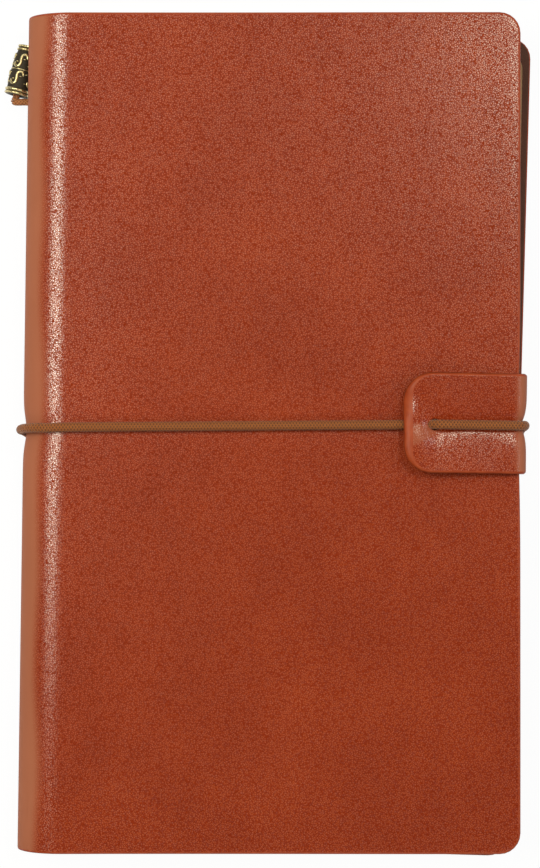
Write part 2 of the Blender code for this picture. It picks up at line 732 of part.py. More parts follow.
def bead_place():
    """Centre of the bead: on the table, and as far under the round spine as it goes."""
    height = BEAD_BIG_END / 2 + ELASTIC_FLOOR
    curve = np.array(BACK_CURVE)
    fine = np.array([BACK_PROFILE.at(s) for s in np.linspace(0, BACK_PROFILE.lengths[BEND_STEPS], 80)])
    best = -BEAD_BIG_END * 2
    for x in np.linspace(-2 * BEAD_BIG_END, BEAD_BIG_END, 421):
        gaps = []
        for along in np.linspace(0, 1, 13):
            reach = (along - 0.5) * BEAD_LENGTH
            centre_x = x + reach * math.sin(BEAD_TILT)
            distance = np.hypot(fine[:, 0] - centre_x, fine[:, 2] - height).min()
            inside = centre_x > np.interp(height, curve[::-1, 1], curve[::-1, 0])
            widest = max(bead_radius(along), (BEAD_BIG_END + (BEAD_SMALL_END - BEAD_BIG_END) * along) / 2)
            gaps.append(-1.0 if inside else distance - widest)
        if min(gaps) >= BEAD_SEAT:
            best = x
    return Vector((best, BEAD_Y, height))


def make_bead(place):
    mesh = bpy.data.meshes.new("bead")
    bm = bmesh.new()
    verts = [bm.verts.new((r, 0.0, z)) for r, z in bead_profile()]
    for first, second in zip(verts, verts[1:] + verts[:1]):
        bm.edges.new((first, second))
    bm.to_mesh(mesh)
    bm.free()
    bead = add_object("bead", mesh, PARTS, FINISH["brass"], FRAME)
    turn = bead.modifiers.new("turned", "SCREW")
    turn.axis = "Z"
    turn.steps = ROUND_STEPS
    turn.render_steps = ROUND_STEPS
    turn.use_merge_vertices = True
    turn.merge_threshold = 0.001 * MM
    bead.rotation_euler = (-math.pi / 2, 0, -BEAD_TILT)
    bead.location = place
    return bead


def make_tail(place, leather):
    """The bead's cord: from its knot inside the spine, out of a hole, round and up the bore."""
    hole_length = np.interp(TAIL_HOLE_HEIGHT, BACK_PROFILE.points[BEND_STEPS::-1, 1],
                            BACK_PROFILE.lengths[BEND_STEPS::-1])
    mouth = BACK_PROFILE.at(hole_length)
    knot = Vector((0.0, TAIL_HOLE_Y, insert_middle(2) + LAYER_GAP))
    knot.x = resting_x(knot.z, TAIL_KNOT / 2, LAYER_GAP)
    mouth.y = TAIL_HOLE_Y
    outward = (mouth - knot).normalized()
    inner_end = knot + outward * (TAIL_KNOT / 2 + LAYER_GAP)
    along = Vector((math.sin(BEAD_TILT), math.cos(BEAD_TILT), 0.0))
    low_end = place - along * BEAD_LENGTH / 2
    high_end = place + along * BEAD_LENGTH / 2
    radius = TAIL / 2
    path = [inner_end, mouth, mouth + outward * TAIL, low_end.lerp(mouth, 0.5) - along * 0.8 * TAIL,
            low_end - along * 1.1 * TAIL, low_end - along * 0.4 * TAIL, low_end + along * 0.5 * TAIL,
            place, high_end - along * 0.3 * TAIL]
    route = smooth_route([(*p, radius) for p in path], 3)
    cord("bead_tail", route, PARTS, FINISH["tail"])
    hole = drill("tail_hole", mouth + outward * 2 * LEATHER, knot, TAIL_HOLE)
    cut(leather, hole)
    bm = bmesh.new()
    bmesh.ops.create_uvsphere(bm, u_segments=16, v_segments=10, radius=TAIL_KNOT / 2)
    mesh = bpy.data.meshes.new("tail_knot")
    bm.to_mesh(mesh)
    bm.free()
    smooth_rounds(mesh)
    ball = add_object("tail_knot", mesh, PARTS, FINISH["tail"], FRAME)
    ball.location = knot


def make_notebook():
    elastic_seat = make_elastic()
    front, back = make_covers(elastic_seat)
    turn, flap = make_strap(elastic_seat)
    first = make_insert("front_insert", 0, parted=False)
    middle = make_insert("middle_insert", 1, parted=True)
    make_insert("back_insert", 2, parted=False)
    front_strand = make_strand("front", 0, 0.0, front)
    make_strand("middle", 1, MIDDLE_STRAND_DROP, back)
    make_strand("back", 2, 0.0, back)
    place = bead_place()
    bead = make_bead(place)
    make_tail(place, back)

    spine_axis = add_empty("spine_axis", (0.0, 0.0, MID), FRAME)
    low_axis = add_empty("strap_low_axis", STRAP_PROFILE.at(LOW_SPLIT), FRAME)
    top_axis = add_empty("strap_top_axis", STRAP_PROFILE.at(TOP_SPLIT), FRAME)
    bead_axis = add_empty("bead_axis", place, FRAME)
    moving = [front, front_strand, *first.values(), middle["kraftfront"], middle["pagesfront"]]
    for piece in moving:
        hang_on(piece, spine_axis)
    hang_on(turn, low_axis)
    hang_on(flap, top_axis)
    hang_on(bead, bead_axis)


clear_scene()
PARTS = new_collection("travelers_notebook")
CUTTERS = new_collection("cutters")
FINISH = {
    "leather": material("rust leather", RUST, 0.5),
    "kraft": material("kraft card", KRAFT_BROWN, 0.85),
    "paper": material("cream paper", CREAM, 0.9),
    "elastic": material("ochre elastic", OCHRE, 0.8),
    "tail": material("tan cord", TAN, 0.75),
    "brass": material("antique brass", ANTIQUE_BRASS, 0.4, 1.0),
    "steel": material("staple wire", STEEL, 0.35, 1.0),
}
FRAME = add_empty("notebook_frame", (-(FRONT_WIDTH + BACK_WIDTH) / 4, 0.0, 0.0))
make_notebook()
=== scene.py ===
"""Looks of the travelers notebook: leather, strap, elastic, inserts and bead, lying on a pale floor."""
import math

import bpy
import numpy as np
from mathutils import Matrix, Vector


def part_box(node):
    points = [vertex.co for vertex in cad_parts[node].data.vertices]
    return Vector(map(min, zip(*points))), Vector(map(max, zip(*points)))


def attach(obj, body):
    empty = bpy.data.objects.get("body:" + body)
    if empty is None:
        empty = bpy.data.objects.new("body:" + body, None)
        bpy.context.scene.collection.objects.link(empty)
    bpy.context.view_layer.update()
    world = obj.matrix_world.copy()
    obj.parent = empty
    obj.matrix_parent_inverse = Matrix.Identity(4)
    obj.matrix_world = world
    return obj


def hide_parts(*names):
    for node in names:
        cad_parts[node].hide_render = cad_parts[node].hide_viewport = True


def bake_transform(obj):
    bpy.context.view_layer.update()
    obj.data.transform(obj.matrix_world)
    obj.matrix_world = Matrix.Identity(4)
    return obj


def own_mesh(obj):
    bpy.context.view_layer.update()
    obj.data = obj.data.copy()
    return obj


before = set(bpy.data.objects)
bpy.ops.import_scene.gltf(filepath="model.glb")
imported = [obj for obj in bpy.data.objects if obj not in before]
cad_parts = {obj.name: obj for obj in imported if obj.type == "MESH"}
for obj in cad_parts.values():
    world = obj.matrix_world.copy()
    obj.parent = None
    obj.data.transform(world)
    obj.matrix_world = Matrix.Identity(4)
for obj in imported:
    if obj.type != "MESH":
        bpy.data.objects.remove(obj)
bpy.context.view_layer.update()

MM = 0.001
SPINE_X = -59.9 * MM

# Leather sheet, as the frame's own solids have it
HALF_HEIGHT = 100.0 * MM
FRONT_WIDTH = 119.0 * MM
BACK_WIDTH = 120.6 * MM
LEATHER = 1.8 * MM
CORNER = 5.0 * MM
SKEW = math.radians(0.8)
THICKNESS = 16.8 * MM
MID = THICKNESS / 2
FRONT_BEND = (11.0 * MM, 2.0)
BACK_BEND = (11.0 * MM, 1.6)
EDGE_ROUND = 0.55 * MM
SPINE_SKIVED = 0.5
PATH_OVERRUN = 1.5

# How the elastic, the strap and wear have shaped the leather
SQUEEZE_DEPTH, SQUEEZE_WIDTH = 0.75 * MM, 4.2 * MM
PRESS_DEPTH, PRESS_WIDTH = 0.14 * MM, 2.4 * MM
WAVE_HEIGHT = 0.22 * MM
PUFF_HEIGHT = 0.30 * MM
PUFF_X, PUFF_Y = (100 * MM, 32 * MM), (52 * MM, 55 * MM)
GROOVE_DEPTH, GROOVE_HALF, GROOVE_WALL = 1.32 * MM, 1.95 * MM, 0.75 * MM
PULL_WIDE, PULL_NEAR = (0.45 * MM, 16 * MM), (0.50 * MM, 3.6 * MM)
WORN_HALF = 9.7 * MM
SLIT_STEP = 0.2 * MM

# Closure strap
STRAP_GAP = 0.2 * MM
STRAP_Y = 3.9 * MM
STRAP_HALF = 11.9 * MM
STRAP_REACH = 26.65 * MM
STRAP_TILT = math.radians(6.0)
STRAP_CORNER = 6.6 * MM
STRAP_LOW_RADIUS = 2.2 * MM
STRAP_TOP_RADIUS = 3.0 * MM
STRAP_OUTER_X = FRONT_WIDTH + STRAP_GAP + LEATHER
STRAP_LEAN = 0.6 * MM
STRAP_THINNED = 0.3
STRAP_TOP_Z = THICKNESS - 0.5 * MM
STRAP_BEVEL = 2.0 * MM
HOLE_FROM_TIP = 7.2 * MM
HOLE_RADIUS = 1.4 * MM

# Closure elastic
ELASTIC = 2.25 * MM
PRESSED = 1.1 * MM
ELASTIC_Y_STRAP = 3.5 * MM
ELASTIC_Y_SPINE = 1.4 * MM
ELASTIC_Y_BACK = -4.0 * MM
PLAIT = 1.15 * MM
PLAIT_SWELL = 0.028

# Inserts
INSERT_HALF_HEIGHT = 94.0 * MM
INSERT_WIDTH = 110.4 * MM
INSERT_CORNER = 4.0 * MM
INSERT_HALF = 2.0 * MM
INSERT_PITCH = 4.3 * MM
FOLD_X = (7.995 * MM, 4.7 * MM, 10.508 * MM)
KRAFT = 0.4 * MM
PAGE_OUTER = 1.4 * MM
PAGE_BULB = 0.95 * MM
PAGE_SLIT = 0.1 * MM
SHEETS = 6
STRAND = 1.5 * MM
FOLD_EASE = 7 * MM
FOLD_ZONE = 12 * MM
HALVES_GAP = 0.12 * MM
BACK_INSERT_ASKEW = 0.006

# Bead
BEAD_PLACE = Vector((-61.937, 88.3, 3.17)) * MM
BEAD_TILT = math.radians(13.0)
BEAD_LENGTH = 12.2 * MM
BEAD_BIG = 3.1 * MM
BEAD_SMALL = 2.5 * MM
BEAD_BORE = 1.5 * MM
BEAD_SUNK = 0.42 * MM
BEAD_BELLY = 0.34 * MM
GROUND_ENDS = (0.86, 0.14)
SCROLLS_ROUND = 4
SCROLL_ROWS = (0.325, 0.675)
SCROLL_TURN = 0.57 * math.pi
SCROLL_WIRE = 0.34 * MM
DOT_WIRE = 0.33 * MM
RIDGE_WIRE = 0.12 * MM
TAIL = 1.7 * MM
TAIL_Y = 80.3 * MM

# The bead's double rim, in mm: out from the end's radius, and in from the end
RIM_PROFILE = ((-0.25, 0.0), (-0.06, 0.08), (0.0, 0.26), (-0.05, 0.50), (-0.30, 0.62),
               (-0.30, 0.74), (0.02, 0.92), (0.08, 1.12), (-0.02, 1.34), (-0.28, 1.48))

# Camera, from the photograph's height in pixels and its scale on the front cover
PICTURE_HEIGHT_PX = 868
PX_PER_MM = 4.213
CAMERA_HEIGHT = 0.52
SENSOR_MM = 36.0


# Shader maths


class Socket:
    """A value in a finish; arithmetic on it adds Math nodes."""

    def __init__(self, finish, link):
        self.finish = finish
        self.link = link

    def maths(self, operation, first, second=0.0):
        return self.finish.add("ShaderNodeMath", {"operation": operation}, {0: first, 1: second})

    def __add__(self, other):
        return self.maths("ADD", self, other)

    def __radd__(self, other):
        return self.maths("ADD", other, self)

    def __sub__(self, other):
        return self.maths("SUBTRACT", self, other)

    def __rsub__(self, other):
        return self.maths("SUBTRACT", other, self)

    def __mul__(self, other):
        return self.maths("MULTIPLY", self, other)

    def __rmul__(self, other):
        return self.maths("MULTIPLY", other, self)

    def sine(self):
        return self.maths("SINE", self)

    def ramp(self, low, high):
        """0 below low, 1 above high and smooth between."""
        settings = {"interpolation_type": "SMOOTHSTEP"}
        return self.finish.add("ShaderNodeMapRange", settings,
                               {"Value": self, "From Min": low, "From Max": high})


class Finish:
    """A procedural material, made node by node."""

    def __init__(self, name):
        self.material = bpy.data.materials.new(name)
        self.material.use_nodes = True
        self.nodes = self.material.node_tree.nodes
        self.links = self.material.node_tree.links
        self.shader = self.nodes["Principled BSDF"]
        self.output = self.nodes["Material Output"]

    def plug(self, socket, value):
        if isinstance(value, Socket):
            self.links.new(value.link, socket)
        else:
            socket.default_value = value

    def add(self, kind, settings=None, sockets=None, out=0):
        """A node of that kind: its settings first, then its sockets; gives one of its outputs."""
        node = self.nodes.new(kind)
        for name, value in (settings or {}).items():
            if name == "stops":
                self.set_stops(node.color_ramp, value)
            else:
                setattr(node, name, value)
        for name, value in (sockets or {}).items():
            self.plug(node.inputs[name], value)
        return Socket(self, node.outputs[out])

    def set_stops(self, ramp, stops):
        while len(ramp.elements) < len(stops):
            ramp.elements.new(0.5)
        for element, (place, colour) in zip(ramp.elements, stops):
            element.position = place
            element.color = (*colour, 1.0)

    def set(self, **values):
        for name, value in values.items():
            self.plug(self.shader.inputs[name.replace("_", " ")], value)

    def place(self):
        return self.add("ShaderNodeTexCoord", out="Object")

    def flat(self):
        """Place on the flat cut sheet, in metres."""
        return self.add("ShaderNodeUVMap", {"uv_map": "flat"})

    def mark(self, name):
        """A number kept on the mesh's points."""
        return self.add("ShaderNodeAttribute", {"attribute_name": name}, out="Fac")

    def scaled(self, vector, scale):
        return self.add("ShaderNodeVectorMath", {"operation": "MULTIPLY"}, {0: vector, 1: scale})

    def shifted(self, vector, other):
        return self.add("ShaderNodeVectorMath", {"operation": "ADD"}, {0: vector, 1: other})

    def part(self, vector, axis):
        return self.add("ShaderNodeSeparateXYZ", None, {"Vector": vector}, axis)

    def noise(self, vector, scale, detail=2.0, roughness=0.5, out=0):
        sockets = {"Vector": vector, "Scale": scale, "Detail": detail, "Roughness": roughness}
        return self.add("ShaderNodeTexNoise", None, sockets, out)

    def cells(self, vector, scale, feature="F1", out="Distance"):
        sockets = {"Vector": vector, "Scale": scale}
        return self.add("ShaderNodeTexVoronoi", {"feature": feature}, sockets, out)

    def blend(self, share, first, second, how="MIX"):
        """First colour where share is 0, second where it is 1."""
        settings = {"data_type": "RGBA", "blend_type": how}
        first = first if isinstance(first, Socket) else (*first, 1.0)
        second = second if isinstance(second, Socket) else (*second, 1.0)
        return self.add("ShaderNodeMix", settings, {0: share, 6: first, 7: second}, 2)

    def stops(self, share, *stops):
        return self.add("ShaderNodeValToRGB", {"stops": stops}, {"Fac": share})

    def relief(self, height, distance, strength=1.0, under=None):
        sockets = {"Height": height, "Distance": distance, "Strength": strength}
        if under:
            sockets["Normal"] = under
        return self.add("ShaderNodeBump", None, sockets)


def pebbles(finish, where, size):
    """Pebble grain: the height of rounded cells with fine creases, and how much each cell shines."""
    wander = finish.noise(where, 0.8 / size, 1.0, out="Color")
    bent = finish.shifted(where, finish.scaled(wander, (0.6 * size,) * 3))
    crease = finish.cells(bent, 1 / size, "DISTANCE_TO_EDGE")
    dome = finish.cells(bent, 1 / size, "F1")
    lot = finish.part(finish.cells(bent, 1 / size, "F1", out="Color"), "X")
    height = 0.3 * crease.ramp(0.0, 0.15) + 0.7 * (1.0 - dome * dome * 2.2)
    return height, crease.ramp(0.04, 0.26) * (0.60 + 0.40 * lot)


def grain_leather():
    """Rust artificial leather with a pressed pebble grain, worn smooth where it is bent; its colour carries
    painted glints on the pebble tops and painted shade in the creases.
    """
    finish = Finish("rust_grain_leather")
    where = finish.flat()
    worn = finish.mark("worn")
    grain, glint = pebbles(finish, where, 0.43 * MM)
    cloud = finish.noise(where, 38.0, 3.0, 0.55)
    streak = finish.noise(finish.scaled(where, (1.0, 0.35, 1.0)), 210.0, 2.0)
    tone = cloud * 0.75 + streak * 0.25
    ground = finish.stops(tone, (0.28, (0.246, 0.0265, 0.0034)), (0.52, (0.284, 0.0328, 0.0045)),
                          (0.74, (0.322, 0.0412, 0.0068)))
    # Painted light: the grain's colour is lightened and whitened on the pebble tops as painted glints, and
    # darkened in the creases as painted shade.
    shade = finish.blend(grain.ramp(0.45, 0.90), (0.80, 0.66, 0.55), (1.20, 1.50, 1.75))
    lit = finish.blend(1.0 - worn, ground, shade, "MULTIPLY")
    bare = finish.blend(cloud, (0.335, 0.116, 0.062), (0.385, 0.145, 0.082))
    finish.set(Base_Color=finish.blend(worn * 0.85, lit, bare))
    finish.set(Roughness=0.42 + 0.10 * cloud + 0.06 * worn, Specular_IOR_Level=0.06)
    finish.set(Coat_Weight=glint * (1.0 - worn), Coat_Roughness=0.28, Coat_IOR=2.05)
    soft = finish.noise(where, 95.0, 2.0)
    swell = finish.relief(soft, 0.25 * MM, 0.30)
    finish.set(Normal=finish.relief(grain * (1.0 - worn), 0.060 * MM, 1.0, swell))
    return finish.material


def painted_edge():
    """Edge paint on the cut leather: a smooth orange-brown coat, a little uneven."""
    finish = Finish("orange_edge_paint")
    where = finish.place()
    uneven = finish.noise(where, 420.0, 3.0)
    finish.set(Base_Color=finish.stops(uneven, (0.30, (0.275, 0.037, 0.008)), (0.70, (0.345, 0.058, 0.014))))
    finish.set(Roughness=0.40 + 0.16 * uneven, Specular_IOR_Level=0.25)
    finish.set(Normal=finish.relief(finish.noise(where, 1500.0, 2.0), 0.03 * MM, 0.6))
    return finish.material


def lining_and_painted_shade():
    """Napped backing on the inside of the leather, its dark colour partly the backing's own and partly
    painted shade of the cover's inside.
    """
    finish = Finish("suede_backing_and_painted_shade")
    where = finish.flat()
    nap = finish.noise(where, 2600.0, 4.0, 0.7)
    patch = finish.noise(where, 60.0, 3.0)
    share = nap * 0.6 + patch * 0.4
    # Painted shade: the lining's dark colour stands partly for the shade inside the cover, and the nap's low
    # places are painted darker.
    finish.set(Base_Color=finish.stops(share, (0.30, (0.060, 0.020, 0.010)), (0.70, (0.125, 0.045, 0.024))))
    finish.set(Roughness=0.92, Sheen_Weight=0.25, Sheen_Roughness=0.5)
    finish.set(Normal=finish.relief(nap, 0.10 * MM, 0.8))
    return finish.material


def kraft_card():
    """Brown kraft card with long pale and dark fibres."""
    finish = Finish("kraft_card")
    where = finish.flat()
    fibre = finish.noise(finish.scaled(where, (1.0, 0.22, 1.0)), 1500.0, 4.0, 0.7)
    fleck = finish.noise(finish.scaled(where, (0.35, 1.0, 1.0)), 900.0, 2.0, 0.6)
    pulp = finish.noise(where, 45.0, 3.0)
    share = fibre * 0.5 + pulp * 0.5
    ground = finish.stops(share, (0.30, (0.27, 0.155, 0.072)), (0.55, (0.36, 0.215, 0.105)),
                          (0.75, (0.43, 0.27, 0.14)))
    finish.set(Base_Color=finish.blend(fleck.ramp(0.66, 0.74) * 0.6, ground, (0.14, 0.075, 0.034)))
    finish.set(Roughness=0.80 + 0.12 * fibre)
    finish.set(Normal=finish.relief(fibre, 0.03 * MM, 0.7))
    return finish.material


def cream_paper():
    """Uncoated cream paper."""
    finish = Finish("cream_paper")
    where = finish.flat()
    tooth = finish.noise(where, 3200.0, 3.0, 0.65)
    pulp = finish.noise(where, 130.0, 3.0)
    share = tooth * 0.35 + pulp * 0.65
    finish.set(Base_Color=finish.stops(share, (0.32, (0.70, 0.615, 0.46)), (0.68, (0.79, 0.715, 0.565))))
    finish.set(Roughness=0.90)
    finish.set(Normal=finish.relief(tooth, 0.012 * MM, 0.6))
    return finish.material


def paper_edge():
    """Cut edges of the sheets: greyer, with each leaf's line."""
    finish = Finish("paper_edge")
    where = finish.place()
    leaf = (finish.part(where, "Z") * (2 * math.pi / (0.11 * MM))).sine()
    dust = finish.noise(where, 900.0, 3.0)
    share = leaf * 0.22 + dust * 0.8
    finish.set(Base_Color=finish.stops(share, (0.20, (0.42, 0.35, 0.25)), (0.70, (0.70, 0.62, 0.47))))
    finish.set(Roughness=0.93)
    return finish.material


def braided_elastic(name, dark, mid, light, plait):
    """Braided cover of an elastic cord: two sets of yarns that cross, seen along and round it, with painted
    shade between the yarns and painted highlights on their crests.
    """
    finish = Finish(name)
    where = finish.flat()
    along = finish.part(where, "Y") * (2 * math.pi / plait)
    turn = finish.part(where, "X") * (2 * math.pi * 6)
    right = (along + turn).sine() * 0.5 + 0.5
    left = (along - turn).sine() * 0.5 + 0.5
    yarn = right.maths("MAXIMUM", right, left)
    lint = finish.noise(finish.scaled(where, (0.004, 1.0, 1.0)), 2600.0, 3.0, 0.7)
    share = yarn * 0.62 + lint * 0.38
    # Painted light: the braid's colour is darker where the yarns dip, as painted shade between them, and
    # lighter on their crests, as a painted highlight.
    finish.set(Base_Color=finish.stops(share, (0.28, dark), (0.58, mid), (0.86, light)))
    finish.set(Roughness=0.74 + 0.15 * lint, Sheen_Weight=0.2, Sheen_Roughness=0.4)
    finish.set(Normal=finish.relief(yarn * 0.8 + lint * 0.2, 0.16 * MM, 0.9))
    return finish.material


def cast_brass():
    """Antiqued cast brass: rubbed bright on the high parts, dark in the hollows."""
    finish = Finish("antique_brass")
    where = finish.place()
    high = finish.mark("rubbed")
    pits = finish.noise(where, 2200.0, 3.0, 0.6)
    bloom = finish.noise(where, 620.0, 2.0)
    bright = (high + (bloom - 0.5) * 0.5).ramp(0.12, 0.80)
    metal = finish.stops(bright, (0.0, (0.030, 0.021, 0.010)), (0.45, (0.20, 0.145, 0.060)),
                         (1.0, (0.74, 0.62, 0.33)))
    finish.set(Base_Color=metal)
    finish.set(Metallic=0.35 + 0.65 * bright, Roughness=0.62 - 0.34 * bright + 0.10 * pits)
    finish.set(Normal=finish.relief(pits, 0.05 * MM, 0.5))
    return finish.material


def staple_steel():
    """Drawn galvanised wire."""
    finish = Finish("staple_wire")
    where = finish.place()
    drawn = finish.noise(finish.scaled(where, (1.0, 0.05, 1.0)), 5200.0, 2.0)
    finish.set(Base_Color=finish.blend(drawn, (0.42, 0.42, 0.43), (0.72, 0.72, 0.71)))
    finish.set(Metallic=1.0, Roughness=0.28 + 0.22 * drawn)
    return finish.material


LEATHER_FACE = grain_leather()
LEATHER_EDGE = painted_edge()
LINING_AND_PAINTED_SHADE = lining_and_painted_shade()
KRAFT_CARD = kraft_card()
PAPER = cream_paper()
PAPER_EDGE = paper_edge()
OCHRE_ELASTIC = braided_elastic("ochre_elastic", (0.090, 0.021, 0.003), (0.180, 0.046, 0.006),
                                (0.32, 0.098, 0.014), 0.75 * MM)
TAN_CORD = braided_elastic("tan_cord", (0.18, 0.060, 0.018), (0.33, 0.112, 0.034),
                           (0.44, 0.175, 0.062), 0.8 * MM)
BRASS = cast_brass()
STAPLE_STEEL = staple_steel()


# Meshes


def unit(rows):
    return rows / np.linalg.norm(rows, axis=1)[:, None]


def graded(places, counts):
    """Shares through these places, with that many even steps from each place to the next."""
    runs = [np.linspace(a, b, n, endpoint=False) for a, b, n in zip(places, places[1:], counts)]
    return np.concatenate([*runs, places[-1:]])


def skin_between(ids):
    """Quads between the rows of a grid of points that closes round on itself in each row."""
    first, after = ids[:-1], ids[1:]
    quads = np.stack([first, np.roll(first, -1, axis=1), np.roll(after, -1, axis=1), after], axis=-1)
    return quads.reshape(-1, 4).tolist()


def stands_for(piece, slot, *nodes):
    """The piece is shown instead of these CAD nodes, which are hidden; the piece and slot arguments are not
    used.
    """
    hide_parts(*nodes)


def new_piece(name, points, faces, finishes, slots=None, flat=None, marks=None):
    """An object from points and faces, with its finishes, its flat pattern and its point marks."""
    mesh = bpy.data.meshes.new(name)
    mesh.from_pydata([tuple(p) for p in points], [], faces)
    for finish in finishes:
        mesh.materials.append(finish)
    if slots is not None:
        mesh.polygons.foreach_set("material_index", np.asarray(slots, dtype=np.int32))
    corners = np.zeros(len(mesh.loops), dtype=np.int32)
    mesh.loops.foreach_get("vertex_index", corners)
    if flat is not None:
        layer = mesh.uv_layers.new(name="flat")
        layer.data.foreach_set("uv", np.asarray(flat, dtype=np.float32)[corners].ravel())
    for mark, values in (marks or {}).items():
        attribute = mesh.attributes.new(mark, "FLOAT", "POINT")
        attribute.data.foreach_set("value", np.asarray(values, dtype=np.float32))
    mesh.validate()
    mesh.shade_smooth()
    piece = bpy.data.objects.new(name, mesh)
    bpy.context.scene.collection.objects.link(piece)
    return piece


class Cut:
    """Outline of a flat sheet: ends u0 and u1, half width, and a corner radius at chosen ends."""

    def __init__(self, u0, u1, half, radius, rounded=(True, True), middle=0.0, notch=None):
        self.u0 = u0
        self.u1 = u1
        self.half = half
        self.radius = radius
        self.rounded = rounded
        self.middle = middle
        self.notch = notch

    def inset(self, start, end, side):
        """The same outline, smaller by these widths."""
        notch = self.notch
        if notch:
            notch = (notch[0], notch[1], notch[2] - end)
        radius = max(self.radius - max(start, end, side), 0.3 * MM)
        return Cut(self.u0 + start, self.u1 - end, self.half - side, radius, self.rounded,
                   self.middle, notch)

    def grid(self, columns, rows, turns=6, zone=9 * MM):
        """Points by row and column; rows are shares of the straight part, then corner turns."""
        straight = self.half - self.radius
        angles = np.linspace(0, math.pi / 2, turns + 1)[1:]
        high = straight + self.radius * np.sin(angles)
        drawn_in = self.radius * (1 - np.cos(angles))
        v = np.concatenate([-high[::-1], np.asarray(rows) * straight, high])
        short = np.concatenate([drawn_in[::-1], np.zeros(len(rows)), drawn_in])
        u0 = self.u0 + short * self.rounded[0]
        u1 = self.u1 - short * self.rounded[1]
        v = v + self.middle
        if self.notch:
            low, top, reach = self.notch
            u1 = np.where((v > low) & (v < top), reach, u1)
        share = np.asarray(columns)
        flat = np.zeros((len(v), len(share), 2))
        flat[:, :, 1] = v[:, None]
        length = self.u1 - self.u0
        even = self.u0 + share * length
        near = np.clip((self.u0 + zone - even) / zone, 0, 1)
        far = np.clip((even - (self.u1 - zone)) / zone, 0, 1)
        flat[:, :, 0] = even + near * (u0[:, None] - self.u0) + far * (u1[:, None] - self.u1)
        return flat


def ring_of(rows, columns):
    """Indices of a grid's border, walked round once."""
    ids = np.arange(rows * columns).reshape(rows, columns)
    return np.concatenate([ids[0, :-1], ids[:-1, -1], ids[-1, :0:-1], ids[:0:-1, 0]])


def grid_faces(rows, columns, start, flip):
    ids = np.arange(rows * columns).reshape(rows, columns) + start
    quads = np.stack([ids[:-1, :-1], ids[:-1, 1:], ids[1:, 1:], ids[1:, :-1]], axis=-1).reshape(-1, 4)
    return (quads[:, ::-1] if flip else quads).tolist()


def cut_sheet(name, cut, columns, rows, depth, bevel, place, finishes, edge_depth, marks=None, turns=6):
    """A closed sheet: outer face, rounded rim and inner face, set in space by `place`.

    bevel gives the width of the rounding at the start, the end and the sides.
    """
    inner_cut = cut.inset(*bevel)
    face = inner_cut.grid(columns, rows, turns)
    full = cut.grid(columns, rows, turns)
    n_rows, n_columns = face.shape[:2]
    ring = ring_of(n_rows, n_columns)
    near = face.reshape(-1, 2)
    far = full.reshape(-1, 2)[ring]
    count = len(near)
    layers = [(near, np.zeros(count))]
    steps = np.linspace(0, math.pi / 2, 5)[1:]
    rims = [(math.sin(a), edge_depth * (1 - math.cos(a))) for a in steps]
    rims += [(out, depth - down) for out, down in reversed(rims)]
    for out, down in rims:
        layers.append((near[ring] + (far - near[ring]) * out, np.full(len(ring), down)))
    layers.append((near, np.full(count, depth)))
    flat = np.concatenate([points for points, _ in layers])
    down = np.concatenate([d for _, d in layers])
    faces = grid_faces(n_rows, n_columns, 0, False)
    slots = [0] * len(faces)
    loops = [ring]
    start = count
    for _ in rims:
        loops.append(np.arange(len(ring)) + start)
        start += len(ring)
    loops.append(ring + start)
    for index, (first, second) in enumerate(zip(loops, loops[1:])):
        strip = np.stack([first, second, np.roll(second, -1), np.roll(first, -1)], axis=-1)
        faces += strip.tolist()
        slots += [2 if index == len(loops) - 2 else 1] * len(strip)
    inner = grid_faces(n_rows, n_columns, start, True)
    faces += inner
    slots += [2] * len(inner)
    points = place(flat[:, 0], flat[:, 1], down)
    kept = {mark: value(flat[:, 0], flat[:, 1]) for mark, value in (marks or {}).items()}
    return new_piece(name, points, faces, finishes, slots, flat, kept)


class Path:
    """A fine polyline in X and Z with its inward side, walked by length from `origin`."""

    def __init__(self, points, inward, origin=0.0):
        self.points = np.asarray(points, dtype=float)
        steps = np.linalg.norm(np.diff(self.points, axis=0), axis=1)
        self.lengths = np.concatenate([[0.0], np.cumsum(steps)]) - origin
        tangent = unit(np.gradient(self.points, self.lengths, axis=0))
        self.inward = np.stack([-tangent[:, 1], tangent[:, 0]], axis=1) * inward

    def at(self, length, depth):
        """X and Z at that length, that deep under the outer face."""
        x, z = (np.interp(length, self.lengths, self.points[:, k]) for k in (0, 1))
        nx, nz = (np.interp(length, self.lengths, self.inward[:, k]) for k in (0, 1))
        size = np.hypot(nx, nz)
        return x + nx / size * depth, z + nz / size * depth


def quarter(bend, side, steps=160):
    """Outer face of a quarter of the spine, from the spine line to the flat."""
    reach, power = bend
    turn = np.linspace(0, math.pi / 2, steps)
    out = reach * (1 - np.cos(turn).clip(0) ** (2 / power))
    rise = MID * np.sin(turn) ** (2 / power)
    return np.stack([out, MID + side * rise], axis=1)


def arc(x, z, radius, start, end, steps=24):
    angle = np.linspace(start, end, steps + 1)
    return np.stack([x + radius * np.cos(angle), z + radius * np.sin(angle)], axis=1)


FRONT_CURVE = quarter(FRONT_BEND, +1)
BACK_CURVE = quarter(BACK_BEND, -1)


def arc_length(points):
    return float(np.linalg.norm(np.diff(points, axis=0), axis=1).sum())


FRONT_LENGTH = arc_length(FRONT_CURVE) + FRONT_WIDTH - FRONT_BEND[0]
BACK_LENGTH = arc_length(BACK_CURVE) + BACK_WIDTH - BACK_BEND[0]
COVER_PATH = Path(np.concatenate([[(PATH_OVERRUN * FRONT_WIDTH, THICKNESS)], FRONT_CURVE[::-1],
                                  BACK_CURVE[1:], [(PATH_OVERRUN * BACK_WIDTH, 0.0)]]), +1,
                  arc_length(FRONT_CURVE) + PATH_OVERRUN * FRONT_WIDTH - FRONT_BEND[0])


